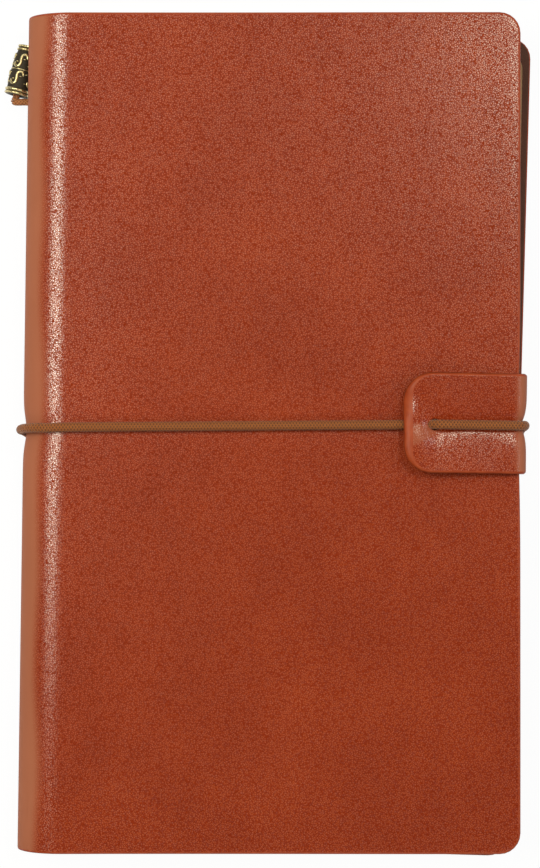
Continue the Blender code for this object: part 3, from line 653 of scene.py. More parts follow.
def smooth_route(points, samples, closed=False):
    """Spline through rows of numbers, read at even steps."""
    pts = np.array(points, dtype=float)
    count = len(pts)
    route = []
    for i in range(count if closed else count - 1):
        ids = [j % count if closed else min(max(j, 0), count - 1) for j in (i - 1, i, i + 1, i + 2)]
        p0, p1, p2, p3 = pts[ids]
        for k in range(samples):
            t = k / samples
            point = 2 * p1 + (p2 - p0) * t + (2 * p0 - 5 * p1 + 4 * p2 - p3) * t ** 2
            route.append((point + (3 * p1 - p0 - 3 * p2 + p3) * t ** 3) / 2)
    if not closed:
        route.append(pts[-1])
    return np.array(route)


def strap_rise(x):
    """Height of the flap's upper face over local x."""
    start = STRAP_PATH_POINTS[-2]
    return start[1] + (start[0] - x) * math.tan(STRAP_TILT)


STRAP_PATH_POINTS = np.concatenate([
    arc(STRAP_OUTER_X - STRAP_LOW_RADIUS, STRAP_LOW_RADIUS, STRAP_LOW_RADIUS, -math.pi / 2, 0),
    arc(STRAP_OUTER_X - STRAP_LEAN - STRAP_TOP_RADIUS, STRAP_TOP_Z, STRAP_TOP_RADIUS,
        0, math.pi / 2 - STRAP_TILT),
])
TIP = STRAP_PATH_POINTS[-1] + STRAP_REACH * np.array([-math.cos(STRAP_TILT), math.sin(STRAP_TILT)])
STRAP_PATH_POINTS = np.concatenate([STRAP_PATH_POINTS, [TIP]])
HOLE_X = TIP[0] + HOLE_FROM_TIP


def elastic_route():
    """Points (x, y, z, half width, half height) of the loop, from the spine over the front and back.

    Where a point gives no halves, the cord is round there.
    """
    full, thin = ELASTIC / 2, PRESSED / 2
    on_cover = THICKNESS + full + 0.1 * MM
    over = full + 0.15 * MM
    outer_x = STRAP_OUTER_X - STRAP_LEAN + full - 1.4 * MM
    y_strap, y_spine, y_back = ELASTIC_Y_STRAP, ELASTIC_Y_SPINE, ELASTIC_Y_BACK
    slope = (y_strap - y_spine) / HOLE_X
    pressed = thin + 0.07 * MM
    wide = 1.25 * MM
    route = []
    for x, z, y in ((-0.45, 9.6, -0.5), (0.85, 13.2, -0.2), (3.4, 15.9, 0.0), (7.0, 17.35, 0.05)):
        route.append((x * MM, y_spine + y * MM, z * MM))
    for x in (13 * MM, 34 * MM, HOLE_X / 2, HOLE_X - 24 * MM, HOLE_X - 9 * MM):
        route.append((x, y_spine + slope * x, on_cover))
    route += [
        (HOLE_X - 3.6 * MM, y_strap, on_cover + 0.1 * MM),
        (HOLE_X - 1.3 * MM, y_strap, strap_rise(HOLE_X) - LEATHER - 0.3 * MM),
        (HOLE_X + 0.4 * MM, y_strap, strap_rise(HOLE_X) - 0.1 * MM),
        (HOLE_X + 3.0 * MM, y_strap, strap_rise(HOLE_X + 3.0 * MM) + over - 0.45 * MM),
        (HOLE_X + 10 * MM, y_strap, strap_rise(HOLE_X + 10 * MM) + over - 0.62 * MM),
        (outer_x - 5.2 * MM, y_strap, strap_rise(outer_x - 5.2 * MM) + over - 0.5 * MM),
        (outer_x - 1.3 * MM, y_strap, THICKNESS + 2.0 * MM),
        (outer_x, y_strap, THICKNESS - 1.6 * MM),
        (outer_x, y_strap - 0.6 * MM, MID),
        (outer_x, y_strap - 1.4 * MM, 4.4 * MM),
        (outer_x - 0.5 * MM, y_strap - 1.8 * MM, 2.3 * MM, full, 0.9 * full),
        (outer_x - 2.4 * MM, y_strap - 2.2 * MM, 0.98 * MM, full, 0.75 * full),
        (outer_x - 6 * MM, y_strap - 2.8 * MM, pressed, wide, thin),
        (0.8 * BACK_WIDTH, y_back + 2.2 * MM, pressed, wide, thin),
        (0.5 * BACK_WIDTH, y_back, pressed, wide, thin),
        (0.25 * BACK_WIDTH, y_back + 0.6 * MM, pressed, wide, thin),
        (14 * MM, y_back + 2.0 * MM, pressed, wide, thin),
        (8 * MM, y_back + 2.4 * MM, pressed + 0.28 * MM, wide, 0.6 * full),
        (4.6 * MM, y_back + 2.8 * MM, 1.45 * MM, full, 0.9 * full),
        (2.15 * MM, y_back + 3.2 * MM, 3.5 * MM),
        (0.0, y_spine - 0.8 * MM, 6.5 * MM),
    ]
    return np.array([(*row, full, full) if len(row) == 3 else row for row in route])


ELASTIC_ROUTE = smooth_route(elastic_route(), 14, closed=True)
BACK_RUN = ELASTIC_ROUTE[ELASTIC_ROUTE[:, 2] < 2.0 * MM]
BACK_RUN = BACK_RUN[np.argsort(BACK_RUN[:, 0])]


def bump(distance, width):
    return np.exp(-(distance / width) ** 2)


def step(value, low, high):
    share = np.clip((value - low) / (high - low), 0, 1)
    return share * share * (3 - 2 * share)


# Leather cover


def wrapped(u, v):
    """Length along the wrap, and y, of a place on the askew sheet."""
    return u * math.cos(SKEW) + v * math.sin(SKEW), -u * math.sin(SKEW) + v * math.cos(SKEW)


def cover_place(u, v, depth):
    """The sheet wrapped round the spine, pressed in where the elastic goes round it."""
    length, y = wrapped(u, v)
    x = COVER_PATH.at(length, 0)[0]
    skin = (1 - depth / LEATHER).clip(0, 1)
    round_spine = bump(length, 11 * MM)
    squeeze = SQUEEZE_DEPTH * bump(y - ELASTIC_Y_SPINE + 0.6 * MM, SQUEEZE_WIDTH) * round_spine
    on_front = step(-length, 12 * MM, 30 * MM)
    line = ELASTIC_Y_SPINE + (ELASTIC_Y_STRAP - ELASTIC_Y_SPINE) * x / HOLE_X
    press = PRESS_DEPTH * bump(y - line, PRESS_WIDTH) * on_front * skin
    lift = WAVE_HEIGHT * np.sin(y * 31.0 + 0.8) * np.sin(x * 42.0) * on_front
    puff = PUFF_HEIGHT * bump(y - PUFF_Y[0], PUFF_Y[1]) * bump(x - PUFF_X[0], PUFF_X[1])
    lift = lift + puff * on_front
    run_y = np.interp(x, BACK_RUN[:, 0], BACK_RUN[:, 1])
    groove = np.interp(x, BACK_RUN[:, 0], BACK_RUN[:, 2] + BACK_RUN[:, 4]) + 0.05 * MM
    under = step(length, 6 * MM, 16 * MM)
    within = step(GROOVE_HALF - np.abs(y - run_y), 0.0, GROOVE_WALL)
    groove = groove.clip(0, GROOVE_DEPTH) * within * under
    thinned = depth * (1 - SPINE_SKIVED * bump(length, 3.5 * MM))
    total = thinned + squeeze + press + groove * skin
    sunk_x, sunk_z = COVER_PATH.at(length, total)
    from_strap = y - ELASTIC_Y_STRAP
    drawn = sum(pull * bump(from_strap, width) for pull, width in (PULL_WIDE, PULL_NEAR))
    drawn = drawn * step(-length, FRONT_LENGTH - 14 * MM, FRONT_LENGTH)
    return np.stack([sunk_x + SPINE_X - drawn, y, sunk_z + lift], axis=1)


def cover_worn(u, v):
    """Where the grain is stretched smooth: down the outermost line of the spine."""
    length, y = wrapped(u, v)
    edge = WORN_HALF + 0.5 * MM * np.sin(y * 140.0) + 0.4 * MM * np.sin(y * 61.0 + 1.0)
    return 1 - step(np.abs(length), edge - 2.6 * MM, edge + 0.9 * MM)


def make_cover():
    """The one sheet, with a slit at each side of the strap's root."""
    strap_low = STRAP_Y - STRAP_HALF - STRAP_GAP
    strap_high = STRAP_Y + STRAP_HALF + STRAP_GAP
    strap_root = arc_length(BACK_CURVE) + STRAP_OUTER_X - STRAP_LOW_RADIUS - BACK_BEND[0]
    cut = Cut(-FRONT_LENGTH, BACK_LENGTH, HALF_HEIGHT, CORNER, notch=(strap_low, strap_high, strap_root))
    total = FRONT_LENGTH + BACK_LENGTH
    spine = FRONT_LENGTH / total
    bend = 0.09
    columns = graded((0, spine - bend, spine + bend, 1), (44, 60, 44))
    straight = HALF_HEIGHT - CORNER
    slits = np.array([slit + side * SLIT_STEP for slit in (strap_low, strap_high) for side in (-1, 1)])
    close = np.concatenate([np.arange(-7.2, 10.21, 0.6) * MM, slits])
    rough = np.linspace(-straight, straight, 70)
    rough = rough[np.abs(rough[:, None] - close).min(axis=1) > 0.9 * MM]
    rows = np.sort(np.concatenate([rough, close])) / straight
    bevel = (EDGE_ROUND,) * 3
    cover = cut_sheet("leather_cover", cut, columns, rows, LEATHER, bevel, cover_place,
                      (LEATHER_FACE, LEATHER_EDGE, LINING_AND_PAINTED_SHADE), 0.5 * MM, {"worn": cover_worn})
    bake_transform(cover)
    stands_for(cover, "leather", "front_cover", "back_cover")


# Closure strap

STRAP_PATH = Path(STRAP_PATH_POINTS, +1)
STRAP_LENGTH = STRAP_PATH.lengths[-1]
STRAP_MEET = STRAP_LOW_RADIUS * math.pi / 2 + 0.5 * (STRAP_TOP_Z - STRAP_LOW_RADIUS)
STRAP_FLAT = STRAP_LENGTH - STRAP_REACH

# Along the strap from its root: how far the cord has wandered from the hole's line, and how deep it lies
CORD_SHIFT = np.array([(0, -2.2), (3.5, -1.8), (5.7, -1.4), (9.7, -0.6), (16.5, 0.0)]) * MM
CORD_BITE = np.array([(0, 1.35), (3.5, 1.1), (6, 0.6), (15, 0.6), (19, 0.4), (23, 0.2)]) * MM


# How the cord and the hole have shaped the strap: how deep, and over what width
STRAP_DENT, STRAP_DENT_WIDTH = 0.75 * MM, 3.4 * MM
CORD_LINE_WIDTH = 1.6 * MM
VALLEY, VALLEY_HALF = 0.85 * MM, 12 * MM
DISH, DISH_LENGTH, DISH_WIDTH = 0.45 * MM, 4.0 * MM, 3.2 * MM
CROWN = 0.22 * MM
TIP_DROOP_MM, CORNER_DROOP_MM = 0.35, 1.1


def strap_place(u, v, depth):
    """The strap bent up the fore-edge and over; drawn in along the cord and dished at its hole."""
    skin = (1 - depth / LEATHER).clip(0, 1)
    from_cord = v - ELASTIC_Y_STRAP - np.interp(u, CORD_SHIFT[:, 0], CORD_SHIFT[:, 1])
    hole = STRAP_LENGTH - HOLE_FROM_TIP
    on_flap = step(u, STRAP_FLAT - 2 * MM, STRAP_FLAT + 6 * MM)
    before_hole = 1 - step(u, hole - 1 * MM, hole + 4 * MM)
    climb = step(u, 2 * MM, 6 * MM) * (1 - on_flap)
    bite = np.interp(u, CORD_BITE[:, 0], CORD_BITE[:, 1])
    dent = STRAP_DENT * climb * bump(from_cord, STRAP_DENT_WIDTH)
    dent = dent + bite * skin * bump(from_cord, CORD_LINE_WIDTH)
    valley = VALLEY * on_flap * before_hole * (1 - np.abs(from_cord) / VALLEY_HALF).clip(0, 1)
    dish = DISH * np.exp(-(((u - hole) / DISH_LENGTH) ** 2 + (from_cord / DISH_WIDTH) ** 2))
    crown = CROWN * on_flap * ((v - STRAP_Y) / STRAP_HALF) ** 2
    past_hole = ((u - hole + 1.5 * MM) / HOLE_FROM_TIP).clip(0, 2)
    corner = bump(from_cord - 5.0 * MM, 3.8 * MM)
    droop = (TIP_DROOP_MM + CORNER_DROOP_MM * corner) * MM * past_hole ** 2
    depth = depth * (1 - STRAP_THINNED * climb)
    x, z = STRAP_PATH.at(u, depth + dent + valley + dish + crown + droop)
    return np.stack([x + SPINE_X, v, z], axis=1)


def strap_worn(u, v):
    """Smooth over the top bend, and in the wedge before the hole where the cord has rubbed."""
    bend = step(u, STRAP_FLAT - 9 * MM, STRAP_FLAT - 5 * MM)
    bend = bend * (1 - step(u, STRAP_FLAT - 1.6 * MM, STRAP_FLAT + 0.8 * MM))
    from_hole = STRAP_LENGTH - HOLE_FROM_TIP - u
    below = ELASTIC_Y_STRAP - v
    wedge = step(-from_hole, -1.6 * MM, 0.6 * MM) * step(below, -0.6 * MM, 0.6 * MM)
    wedge = wedge * (1 - step(below + 0.45 * from_hole, 2.2 * MM, 3.2 * MM))
    return np.maximum(bend, 0.5 * wedge)


def make_strap():
    """The strap in two lengths that meet half way up the fore-edge."""
    finishes = (LEATHER_FACE, LEATHER_EDGE, LINING_AND_PAINTED_SHADE)
    rows = np.linspace(-1, 1, 34)
    low_cut = Cut(0.0, STRAP_MEET, STRAP_HALF, 0.6 * MM, (False, False), STRAP_Y)
    low = cut_sheet("strap_turn_leather", low_cut, np.linspace(0, 1, 26), rows, LEATHER,
                    (0.0, 0.0, 0.3 * MM), strap_place, finishes, 0.4 * MM, {"worn": strap_worn}, 3)
    top_cut = Cut(STRAP_MEET, STRAP_LENGTH, STRAP_HALF, STRAP_CORNER, (False, True), STRAP_Y)
    top = cut_sheet("strap_flap_leather", top_cut, np.linspace(0, 1, 76), rows, LEATHER,
                    (0.0, STRAP_BEVEL, 0.65 * MM), strap_place, finishes, 1.1 * MM, {"worn": strap_worn}, 8)
    punch_hole(top)
    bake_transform(low)
    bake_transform(top)
    stands_for(low, "leather", "strap_turn")
    stands_for(top, "leather", "strap_flap")


def punch_hole(flap):
    """A round hole through the flap, in the flap's own plane."""
    middle = Vector((HOLE_X + SPINE_X, ELASTIC_Y_STRAP, strap_rise(HOLE_X) - LEATHER / 2))
    bpy.ops.mesh.primitive_cylinder_add(vertices=40, radius=HOLE_RADIUS, depth=5 * LEATHER, location=middle,
                                        rotation=(0, STRAP_TILT, 0))
    punch = bpy.context.object
    punch.data.materials.append(LEATHER_EDGE)
    boolean = flap.modifiers.new("hole", "BOOLEAN")
    boolean.operation = "DIFFERENCE"
    boolean.solver = "EXACT"
    boolean.object = punch
    boolean.material_mode = "TRANSFER"
    bpy.context.view_layer.update()
    evaluated = flap.evaluated_get(bpy.context.evaluated_depsgraph_get())
    mesh = bpy.data.meshes.new_from_object(evaluated)
    flap.modifiers.clear()
    flap.data = mesh
    mesh.set_sharp_from_angle(angle=math.radians(50))
    bpy.data.objects.remove(punch, do_unlink=True)


# Cords


def tube(name, route, sides, finishes, closed=False, ripple=None):
    """A cord through (x, y, z, half width, half height), with its length kept as its flat pattern."""
    route = np.asarray(route, dtype=float)
    centre = route[:, :3]
    count = len(centre)
    if closed:
        tangent = np.roll(centre, -1, axis=0) - np.roll(centre, 1, axis=0)
    else:
        tangent = np.gradient(centre, axis=0)
    tangent = unit(tangent)
    side = np.cross(tangent, (0.0, 1.0, 0.0))
    weak = np.linalg.norm(side, axis=1) < 0.3
    side[weak] = np.cross(tangent[weak], (0.0, 0.0, 1.0))
    side = unit(side)
    across = np.cross(side, tangent)
    hops = np.linalg.norm(np.diff(centre, axis=0, append=centre[:1]), axis=1)
    run = np.concatenate([[0.0], np.cumsum(hops)[:-1]])
    angle = np.linspace(0, 2 * math.pi, sides, endpoint=False)
    ring = (across[:, None, :] * np.cos(angle)[None, :, None] * route[:, 3][:, None, None]
            + side[:, None, :] * np.sin(angle)[None, :, None] * route[:, 4][:, None, None])
    if ripple:
        ring = ring * ripple(run[:, None], angle[None, :])[:, :, None]
    points = (centre[:, None, :] + ring).reshape(-1, 3)
    points[:, 0] += SPINE_X
    flat = np.stack([np.broadcast_to(angle / (2 * math.pi), (count, sides)),
                     np.broadcast_to(run[:, None], (count, sides))], axis=-1).reshape(-1, 2)
    ids = np.arange(count * sides).reshape(count, sides)
    faces = skin_between(np.concatenate([ids, ids[:1]]) if closed else ids)
    if not closed:
        faces.append(ids[0, ::-1].tolist())
        faces.append(ids[-1].tolist())
    return new_piece(name, points, faces, finishes, None, flat)


def plaited(run, angle):
    """Small swell of the crossing yarns."""
    right = np.sin(2 * math.pi * run / PLAIT + 3 * angle)
    left = np.sin(2 * math.pi * run / PLAIT - 3 * angle)
    return 1 + PLAIT_SWELL * np.maximum(right, left)


def make_elastic():
    """The closed loop, carried on the strap flap's body."""
    route = smooth_route(elastic_route(), 44, closed=True)
    loop = tube("closure_elastic_cord", route, 20, (OCHRE_ELASTIC,), True, plaited)
    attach(loop, "strap_flap")
    hole = (HOLE_X + SPINE_X, ELASTIC_Y_STRAP, strap_rise(HOLE_X))
    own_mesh(loop)
    stands_for(loop, "closure_elastic", "closure_elastic")


def round_route(points, radius, samples):
    rows = [(x - SPINE_X, y, z, radius, radius) for x, y, z in points]
    return smooth_route(rows, samples)


def make_strands():
    """The strands inside the spine, one down the fold of each insert."""
    bodies = ("front", "back", "back")
    for index, (label, drop) in enumerate((("front", 0.0), ("middle", 2.4 * MM), ("back", 0.0))):
        low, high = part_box(label + "_strand")
        x, z = FOLD_X[index] + SPINE_X, MID + (1 - index) * INSERT_PITCH
        end_z = z - drop
        end_y = high.y - STRAND / 2
        half = [(low.x + 0.1 * MM, end_y, end_z), (low.x + 1.1 * MM, end_y, end_z),
                (x - 0.6 * MM, end_y - 0.3 * MM, z - 0.5 * drop), (x, end_y - 2.2 * MM, z),
                (x, end_y - 8 * MM, z), (x, end_y / 3, z)]
        route = half + [(px, -py, pz) for px, py, pz in reversed(half)]
        strand = tube(label + "_strand_cord", round_route(route, STRAND / 2, 16), 12, (OCHRE_ELASTIC,))
        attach(strand, bodies[index])
        stands_for(strand, "strand_elastic", label + "_strand")


# Inserts


def folded_path(fold_x, fore_edge, wide, tight, middle):
    """A folded sheet from its upper fore-edge, round the fold, to its lower fore-edge."""
    turn = arc(fold_x, middle, tight, math.pi / 2, 3 * math.pi / 2, 20)
    share = np.linspace(1, 0, 10, endpoint=False)
    settle = tight + (wide - tight) * share * share * (3 - 2 * share)
    upper = np.stack([fold_x + FOLD_EASE * share, middle + settle], axis=1)
    lower = np.stack([fold_x + FOLD_EASE * share[::-1], middle - settle[::-1]], axis=1)
    ends = ([(fore_edge, middle + wide)], [(fore_edge, middle - wide)])
    return Path(np.concatenate([ends[0], upper, turn, lower, ends[1]]), +1)


def fold_columns(path):
    """Column shares of a folded sheet: close together round the fold, wide apart on the flats."""
    span = FOLD_ZONE / path.lengths[-1]
    return graded((0, 0.5 - span, 0.5 + span, 1), (12, 44, 12))


def leaf(name, index, wide, tight, thick, trim, half, finishes, askew=0.0):
    """One folded leaf of an insert, or its upper or lower half."""
    middle = MID + (1 - index) * INSERT_PITCH
    fold_x = FOLD_X[index]
    fore_edge = fold_x - INSERT_HALF + INSERT_WIDTH - trim
    path = folded_path(fold_x, fore_edge, wide, tight, middle)
    length = path.lengths[-1]

    def place(u, v, depth):
        x, z = path.at(u, depth)
        reach = (x - fold_x) / INSERT_WIDTH
        droop = askew * reach.clip(0, 1) * v
        return np.stack([x + SPINE_X + droop, v, z], axis=1)

    start = length / 2 + HALVES_GAP if half == "lower" else 0.0
    end = length / 2 - HALVES_GAP if half == "upper" else length
    rounded = (half != "lower", half != "upper")
    cut = Cut(start, end, INSERT_HALF_HEIGHT - trim, INSERT_CORNER, rounded)
    if half == "whole":
        columns = fold_columns(path)
    else:
        bunched = graded((0, 0.88, 1), (12, 23))
        columns = bunched if half == "upper" else 1 - bunched[::-1]
    rim = min(0.08 * MM, 0.4 * thick)
    return cut_sheet(name, cut, columns, np.linspace(-1, 1, 9), thick, (rim,) * 3, place, finishes, rim)


def joined(name, pieces):
    """Several leaves as one piece."""
    with bpy.context.temp_override(active_object=pieces[0], selected_editable_objects=pieces):
        bpy.ops.object.join()
    pieces[0].name = name
    return pieces[0]


def page_block(name, index, half, askew):
    """The sheets of an insert, each cut a hair differently."""
    leaves = []
    for k in range(SHEETS):
        share = k / SHEETS
        wide = PAGE_OUTER - (PAGE_OUTER - PAGE_SLIT) * share
        tight = PAGE_OUTER - (PAGE_OUTER - PAGE_BULB) * share
        thick = 0.72 * (PAGE_OUTER - PAGE_BULB) / SHEETS + 0.06 * MM
        trim = (0.30 + 0.16 * math.sin(2.4 * k + index) + 0.05 * (k % 2)) * MM
        leaves.append(leaf(f"{name}_{k}", index, wide, tight, thick, trim, half,
                           (PAPER, PAPER_EDGE, PAPER), askew))
    return joined(name, leaves)


def make_insert(label, index, bodies, askew=0.0):
    """A booklet on one body, or its upper and lower halves on two."""
    halves = {"whole": ""} if len(bodies) == 1 else {"upper": "_front", "lower": "_back"}
    for body, (half, ending) in zip(bodies, halves.items()):
        kraft = leaf(f"{label}_kraft{ending}_card", index, INSERT_HALF, INSERT_HALF, KRAFT, 0.0, half,
                     (KRAFT_CARD,) * 3, askew)
        pages = page_block(f"{label}_pages{ending}_sheets", index, half, askew)
        for piece, node in ((kraft, "kraft"), (pages, "pages")):
            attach(piece, body)
            stands_for(piece, node, f"{label}_{node}{ending}")


def make_staples():
    """The CAD staples, whose shape is right, in a wire finish."""
    for name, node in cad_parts.items():
        if "staple" in name:
            node.data.materials.clear()
            node.data.materials.append(STAPLE_STEEL)


# Bead


def bead_outline(along):
    """Radius of the bead's ground, from the big end at 0 to the small end at 1."""
    taper = BEAD_BIG + (BEAD_SMALL - BEAD_BIG) * along
    return taper - BEAD_SUNK + BEAD_BELLY * np.sin(math.pi * along)


def bead_ring(along, angle, lift):
    """A place on the bead's side, in the bead's own frame."""
    radius = bead_outline(along) + lift
    return np.stack([radius * np.cos(angle), radius * np.sin(angle),
                     (along - 0.5) * BEAD_LENGTH + 0 * angle], axis=-1)


def bead_body():
    """Turned body: bore, stepped double rims and the sunk ground between them."""
    half = BEAD_LENGTH / 2
    profile = []
    for radius, z, way in ((BEAD_SMALL, half, -1), (BEAD_BIG, -half, +1)):
        rim = [(BEAD_BORE, z + way * 0.10 * MM), (BEAD_BORE + 0.12 * MM, z)]
        rim += [(radius + out * MM, z + way * rise * MM) for out, rise in RIM_PROFILE]
        profile.append(rim if way < 0 else rim[::-1])
    ground = [(float(bead_outline(a)), (a - 0.5) * BEAD_LENGTH) for a in np.linspace(*GROUND_ENDS, 15)]
    outline = np.array(profile[0] + ground + profile[1])
    sides = 120
    angle = np.linspace(0, 2 * math.pi, sides, endpoint=False)
    on_rim = (np.abs(outline[:, 1]) > 0.36 * BEAD_LENGTH) & (outline[:, 0] > BEAD_BORE + 0.2 * MM)
    twist = np.sin(15 * angle + 3.3 / MM * outline[:, 1][:, None])
    radius = outline[:, 0][:, None] - 0.05 * MM * on_rim[:, None] * (1 + twist)
    points = np.stack([radius * np.cos(angle), radius * np.sin(angle),
                       np.broadcast_to(outline[:, 1][:, None], radius.shape)], axis=-1).reshape(-1, 3)
    ids = np.arange(len(outline) * sides).reshape(len(outline), sides)
    after = np.roll(ids, -1, axis=0)
    quads = np.stack([ids, after, np.roll(after, -1, axis=1), np.roll(ids, -1, axis=1)], axis=-1)
    along = outline[:, 1] / BEAD_LENGTH + 0.5
    height = (outline[:, 0] - bead_outline(along)) / BEAD_SUNK
    rubbed = np.repeat(np.clip(height, 0, 1) * 0.85, sides)
    return points, quads.reshape(-1, 4).tolist(), rubbed


def bead_wire(track, thick, sides=8):
    """A raised wire along (along, angle) places on the bead, with round ends."""
    along, angle = track[:, 0], track[:, 1]
    centre = bead_ring(along, angle, 0.02 * MM)
    outward = unit(bead_ring(along, angle, 1.0 * MM) - centre)
    tangent = unit(np.gradient(centre, axis=0))
    side = np.cross(tangent, outward)
    taper = np.sqrt(np.clip(1 - np.linspace(-1, 1, len(centre)) ** 10, 0.05, 1))[:, None, None]
    turn = np.linspace(0, 2 * math.pi, sides, endpoint=False)
    ring = (side[:, None, :] * np.cos(turn)[None, :, None]
            + outward[:, None, :] * np.sin(turn)[None, :, None])
    points = (centre[:, None, :] + ring * thick * taper).reshape(-1, 3)
    ids = np.arange(len(points)).reshape(len(centre), sides)
    faces = skin_between(ids)
    faces += [ids[0, ::-1].tolist(), ids[-1].tolist()]
    rubbed = np.tile(np.clip(0.35 + 0.75 * np.sin(turn), 0.15, 1.0), len(centre))
    return points, faces, rubbed


def scroll_track(along, angle):
    """An S-scroll with open hooks, upright along the bead."""
    stroke = [(1.5, 0.45), (1.35, 1.15), (0.75, 1.55), (0.1, 1.2), (-0.05, 0.35), (0.05, -0.35),
              (-0.1, -1.2), (-0.75, -1.55), (-1.35, -1.15), (-1.5, -0.45)]
    stroke = smooth_route(stroke, 7) * MM
    return np.stack([along + stroke[:, 1] / BEAD_LENGTH,
                     angle + stroke[:, 0] / bead_outline(along)], axis=1)


def dot_track(along, angle):
    """A very short wire, which makes a dot."""
    spot = np.linspace(-0.12 * MM, 0.12 * MM, 5)
    return np.stack([along + spot / BEAD_LENGTH, angle + 0 * spot], axis=1)


def make_bead():
    """Body, two rings of scrolls with dots in and between them, and the ridge round the middle."""
    parts = [bead_body()]
    for along in SCROLL_ROWS:
        reach = 0.85 * MM / bead_outline(along)
        for k in range(SCROLLS_ROUND):
            angle = 2 * math.pi * k / SCROLLS_ROUND - SCROLL_TURN
            parts.append(bead_wire(scroll_track(along, angle), SCROLL_WIRE))
            spots = [dot_track(along + side * 0.35 * MM / BEAD_LENGTH, angle + side * reach)
                     for side in (-1, 1)]
            spots += [dot_track(along + spread * 1.9 * MM / BEAD_LENGTH, angle + math.pi / SCROLLS_ROUND)
                      for spread in (-0.6, 0.6)]
            parts += [bead_wire(spot, DOT_WIRE) for spot in spots]
    line = np.linspace(0, 2 * math.pi, 90)
    parts.append(bead_wire(np.stack([0.5 + 0 * line, line], axis=1), RIDGE_WIRE, 6))
    points, faces, rubbed, start = [], [], [], 0
    for part_points, part_faces, part_rubbed in parts:
        faces += [[i + start for i in face] for face in part_faces]
        start += len(part_points)
        points.append(part_points)
        rubbed.append(part_rubbed)
    bead = new_piece("bead_casting", np.concatenate(points), faces, (BRASS,), None, None,
                     {"rubbed": np.concatenate(rubbed)})
    turned = Matrix.Rotation(-BEAD_TILT, 4, "Z") @ Matrix.Rotation(-math.pi / 2, 4, "X")
    bead.matrix_world = Matrix.Translation(BEAD_PLACE) @ turned
    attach(bead, "bead")
    stands_for(bead, "bead", "bead")


def make_tail():
    """The bead's cord, out of the spine, round in a loop and up the bead's bore, and its knot."""
    along = Vector((math.sin(BEAD_TILT), math.cos(BEAD_TILT), 0.0))
    low_end = BEAD_PLACE - along * BEAD_LENGTH / 2
    high_end = BEAD_PLACE + along * BEAD_LENGTH / 2
    knot_low, knot_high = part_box("tail_knot")
    knot = (knot_low + knot_high) / 2
    inner = Vector((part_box("bead_tail")[1].x - 0.2 * MM, TAIL_Y, knot.z - 0.25 * MM))
    mouth = Vector((SPINE_X + 2.1 * MM, TAIL_Y, 3.4 * MM))
    outward = (mouth - inner).normalized()
    path = [inner, mouth, mouth + outward * TAIL, low_end.lerp(mouth, 0.5) - along * 0.35 * TAIL,
            low_end - along * 0.95 * TAIL, low_end - along * 0.4 * TAIL, low_end + along * 0.5 * TAIL,
            BEAD_PLACE, high_end - along * 0.3 * TAIL]
    cord = tube("bead_tail_cord", round_route(path, TAIL / 2, 12), 14, (TAN_CORD,))
    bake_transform(cord)
    stands_for(cord, "tail_cord", "bead_tail")
    turn = np.linspace(0, 2 * math.pi, 90, endpoint=False)
    size = (knot_high.x - knot_low.x) / 2
    winding = np.stack([np.sin(turn) + 2 * np.sin(2 * turn), np.cos(turn) - 2 * np.cos(2 * turn),
                        -1.4 * np.sin(3 * turn)], axis=1) * size * 0.2
    centre = winding + np.array(knot) - (SPINE_X, 0, 0)
    rows = np.concatenate([centre, np.full((len(turn), 2), 0.34 * size)], axis=1)
    ball = tube("tail_knot_cord", rows, 10, (TAN_CORD,), True)
    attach(ball, "back")
    stands_for(ball, "tail_cord", "tail_knot")


# Setting


def shown_white(finish, lit, share):
    """White to the camera and in reflections, in part, so that shadows stay faint."""
    path = finish.nodes.new("ShaderNodeLightPath")
    seen = Socket(finish, path.outputs["Is Camera Ray"])
    for name in ("Is Glossy Ray", "Is Transmission Ray"):
        seen = seen.maths("MAXIMUM", seen, Socket(finish, path.outputs[name]))
    glow = finish.add("ShaderNodeEmission", None, {"Color": (1, 1, 1, 1), "Strength": 1.0})
    mixed = finish.add("ShaderNodeMixShader", None, {0: seen * share, 1: lit, 2: glow})
    finish.links.new(mixed.link, finish.output.inputs["Surface"])


def make_floor():
    """A pale floor a hair under the notebook."""
    floor = Finish("pale_floor")
    floor.set(Base_Color=(0.94, 0.94, 0.94, 1.0), Roughness=0.9)
    shown_white(floor, Socket(floor, floor.shader.outputs[0]), 0.95)
    reach, under = 4.0, -0.05 * MM
    around = ((-1, -1), (1, -1), (1, 1), (-1, 1))
    corners = [(x * reach, y * reach, under) for x, y in around]
    plane = new_piece("floor", corners, [[0, 1, 2, 3]], (floor.material,))


def make_world():
    """White to the camera, and a weak warm light for the rest."""
    world = bpy.data.worlds.new("studio")
    world.use_nodes = True
    nodes, links = world.node_tree.nodes, world.node_tree.links
    soft = nodes["Background"]
    soft.inputs["Color"].default_value = (1.0, 0.98, 0.96, 1.0)
    soft.inputs["Strength"].default_value = 0.05
    white = nodes.new("ShaderNodeBackground")
    white.inputs["Strength"].default_value = 1.0
    path = nodes.new("ShaderNodeLightPath")
    mix = nodes.new("ShaderNodeMixShader")
    links.new(path.outputs["Is Camera Ray"], mix.inputs[0])
    links.new(soft.outputs[0], mix.inputs[1])
    links.new(white.outputs[0], mix.inputs[2])
    links.new(mix.outputs[0], nodes["World Output"].inputs["Surface"])
    bpy.context.scene.world = world


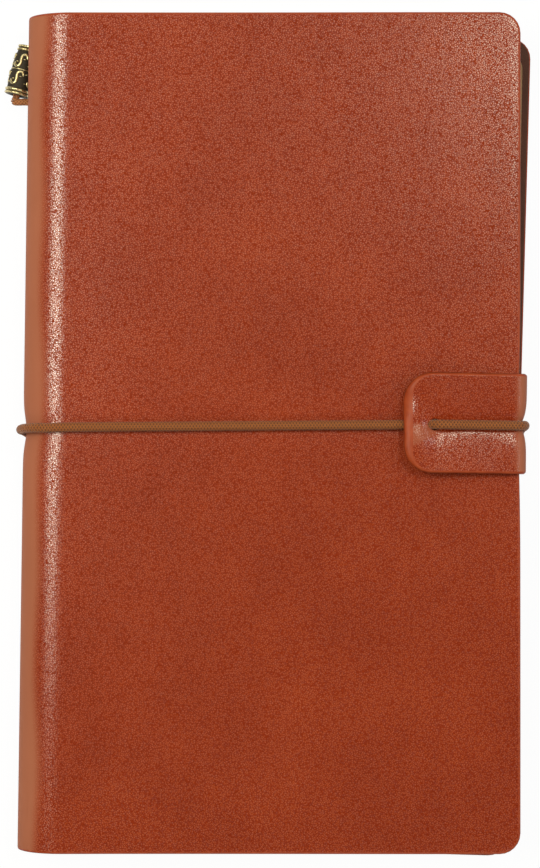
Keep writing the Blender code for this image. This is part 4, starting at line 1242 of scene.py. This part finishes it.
def softbox(name, place, width, height, power, colour=(1.0, 1.0, 1.0), target=(0, 0, 0.01)):
    """A square-cornered area lamp that points at the target; metres and watts."""
    lamp = bpy.data.lights.new(name, "AREA")
    lamp.shape = "RECTANGLE"
    lamp.size = width
    lamp.size_y = height
    lamp.energy = power
    lamp.color = colour
    made = bpy.data.objects.new(name, lamp)
    bpy.context.scene.collection.objects.link(made)
    made.location = place
    made.rotation_euler = (Vector(target) - Vector(place)).to_track_quat("-Z", "Y").to_euler()


def make_lights():
    """The left strip makes the band of light beside the spine; the others fill."""
    softbox("left_strip", (-0.39, 0.12, 0.635), 0.42, 0.25, 4.2, (1.0, 0.96, 0.78), (-0.03, 0.05, 0.01))
    softbox("right_key", (0.29, 0.34, 1.0), 0.20, 0.20, 2.3, (1.0, 0.96, 0.76))
    softbox("head", (-0.10, 0.75, 0.85), 0.9, 0.5, 2.0)
    softbox("foot", (0.1, -0.75, 0.85), 0.9, 0.5, 2.4)
    softbox("right_side", (0.80, 0.1, 0.70), 0.5, 0.6, 3.2)


def make_camera():
    """Straight down, turned with the front cover, at the photograph's scale."""
    lens = bpy.data.cameras.new("camera")
    lens.sensor_fit = "VERTICAL"
    lens.sensor_height = SENSOR_MM
    lens.sensor_width = SENSOR_MM
    camera = bpy.data.objects.new("camera", lens)
    bpy.context.scene.collection.objects.link(camera)
    lens.lens = SENSOR_MM * (CAMERA_HEIGHT - THICKNESS) / (PICTURE_HEIGHT_PX / PX_PER_MM * MM)
    camera.location = (-0.4 * MM, 0.7 * MM, CAMERA_HEIGHT)
    camera.rotation_euler = (0.0, 0.0, SKEW)
    bpy.context.scene.camera = camera


make_cover()
make_strap()
make_elastic()
make_strands()
make_insert("front_insert", 0, ("front",))
make_insert("middle_insert", 1, ("middle_leaf", "back"))
make_insert("back_insert", 2, ("back",), BACK_INSERT_ASKEW)
make_staples()
make_bead()
make_tail()
make_floor()
make_world()
make_lights()
make_camera()
bpy.context.scene.view_settings.view_transform = "Standard"
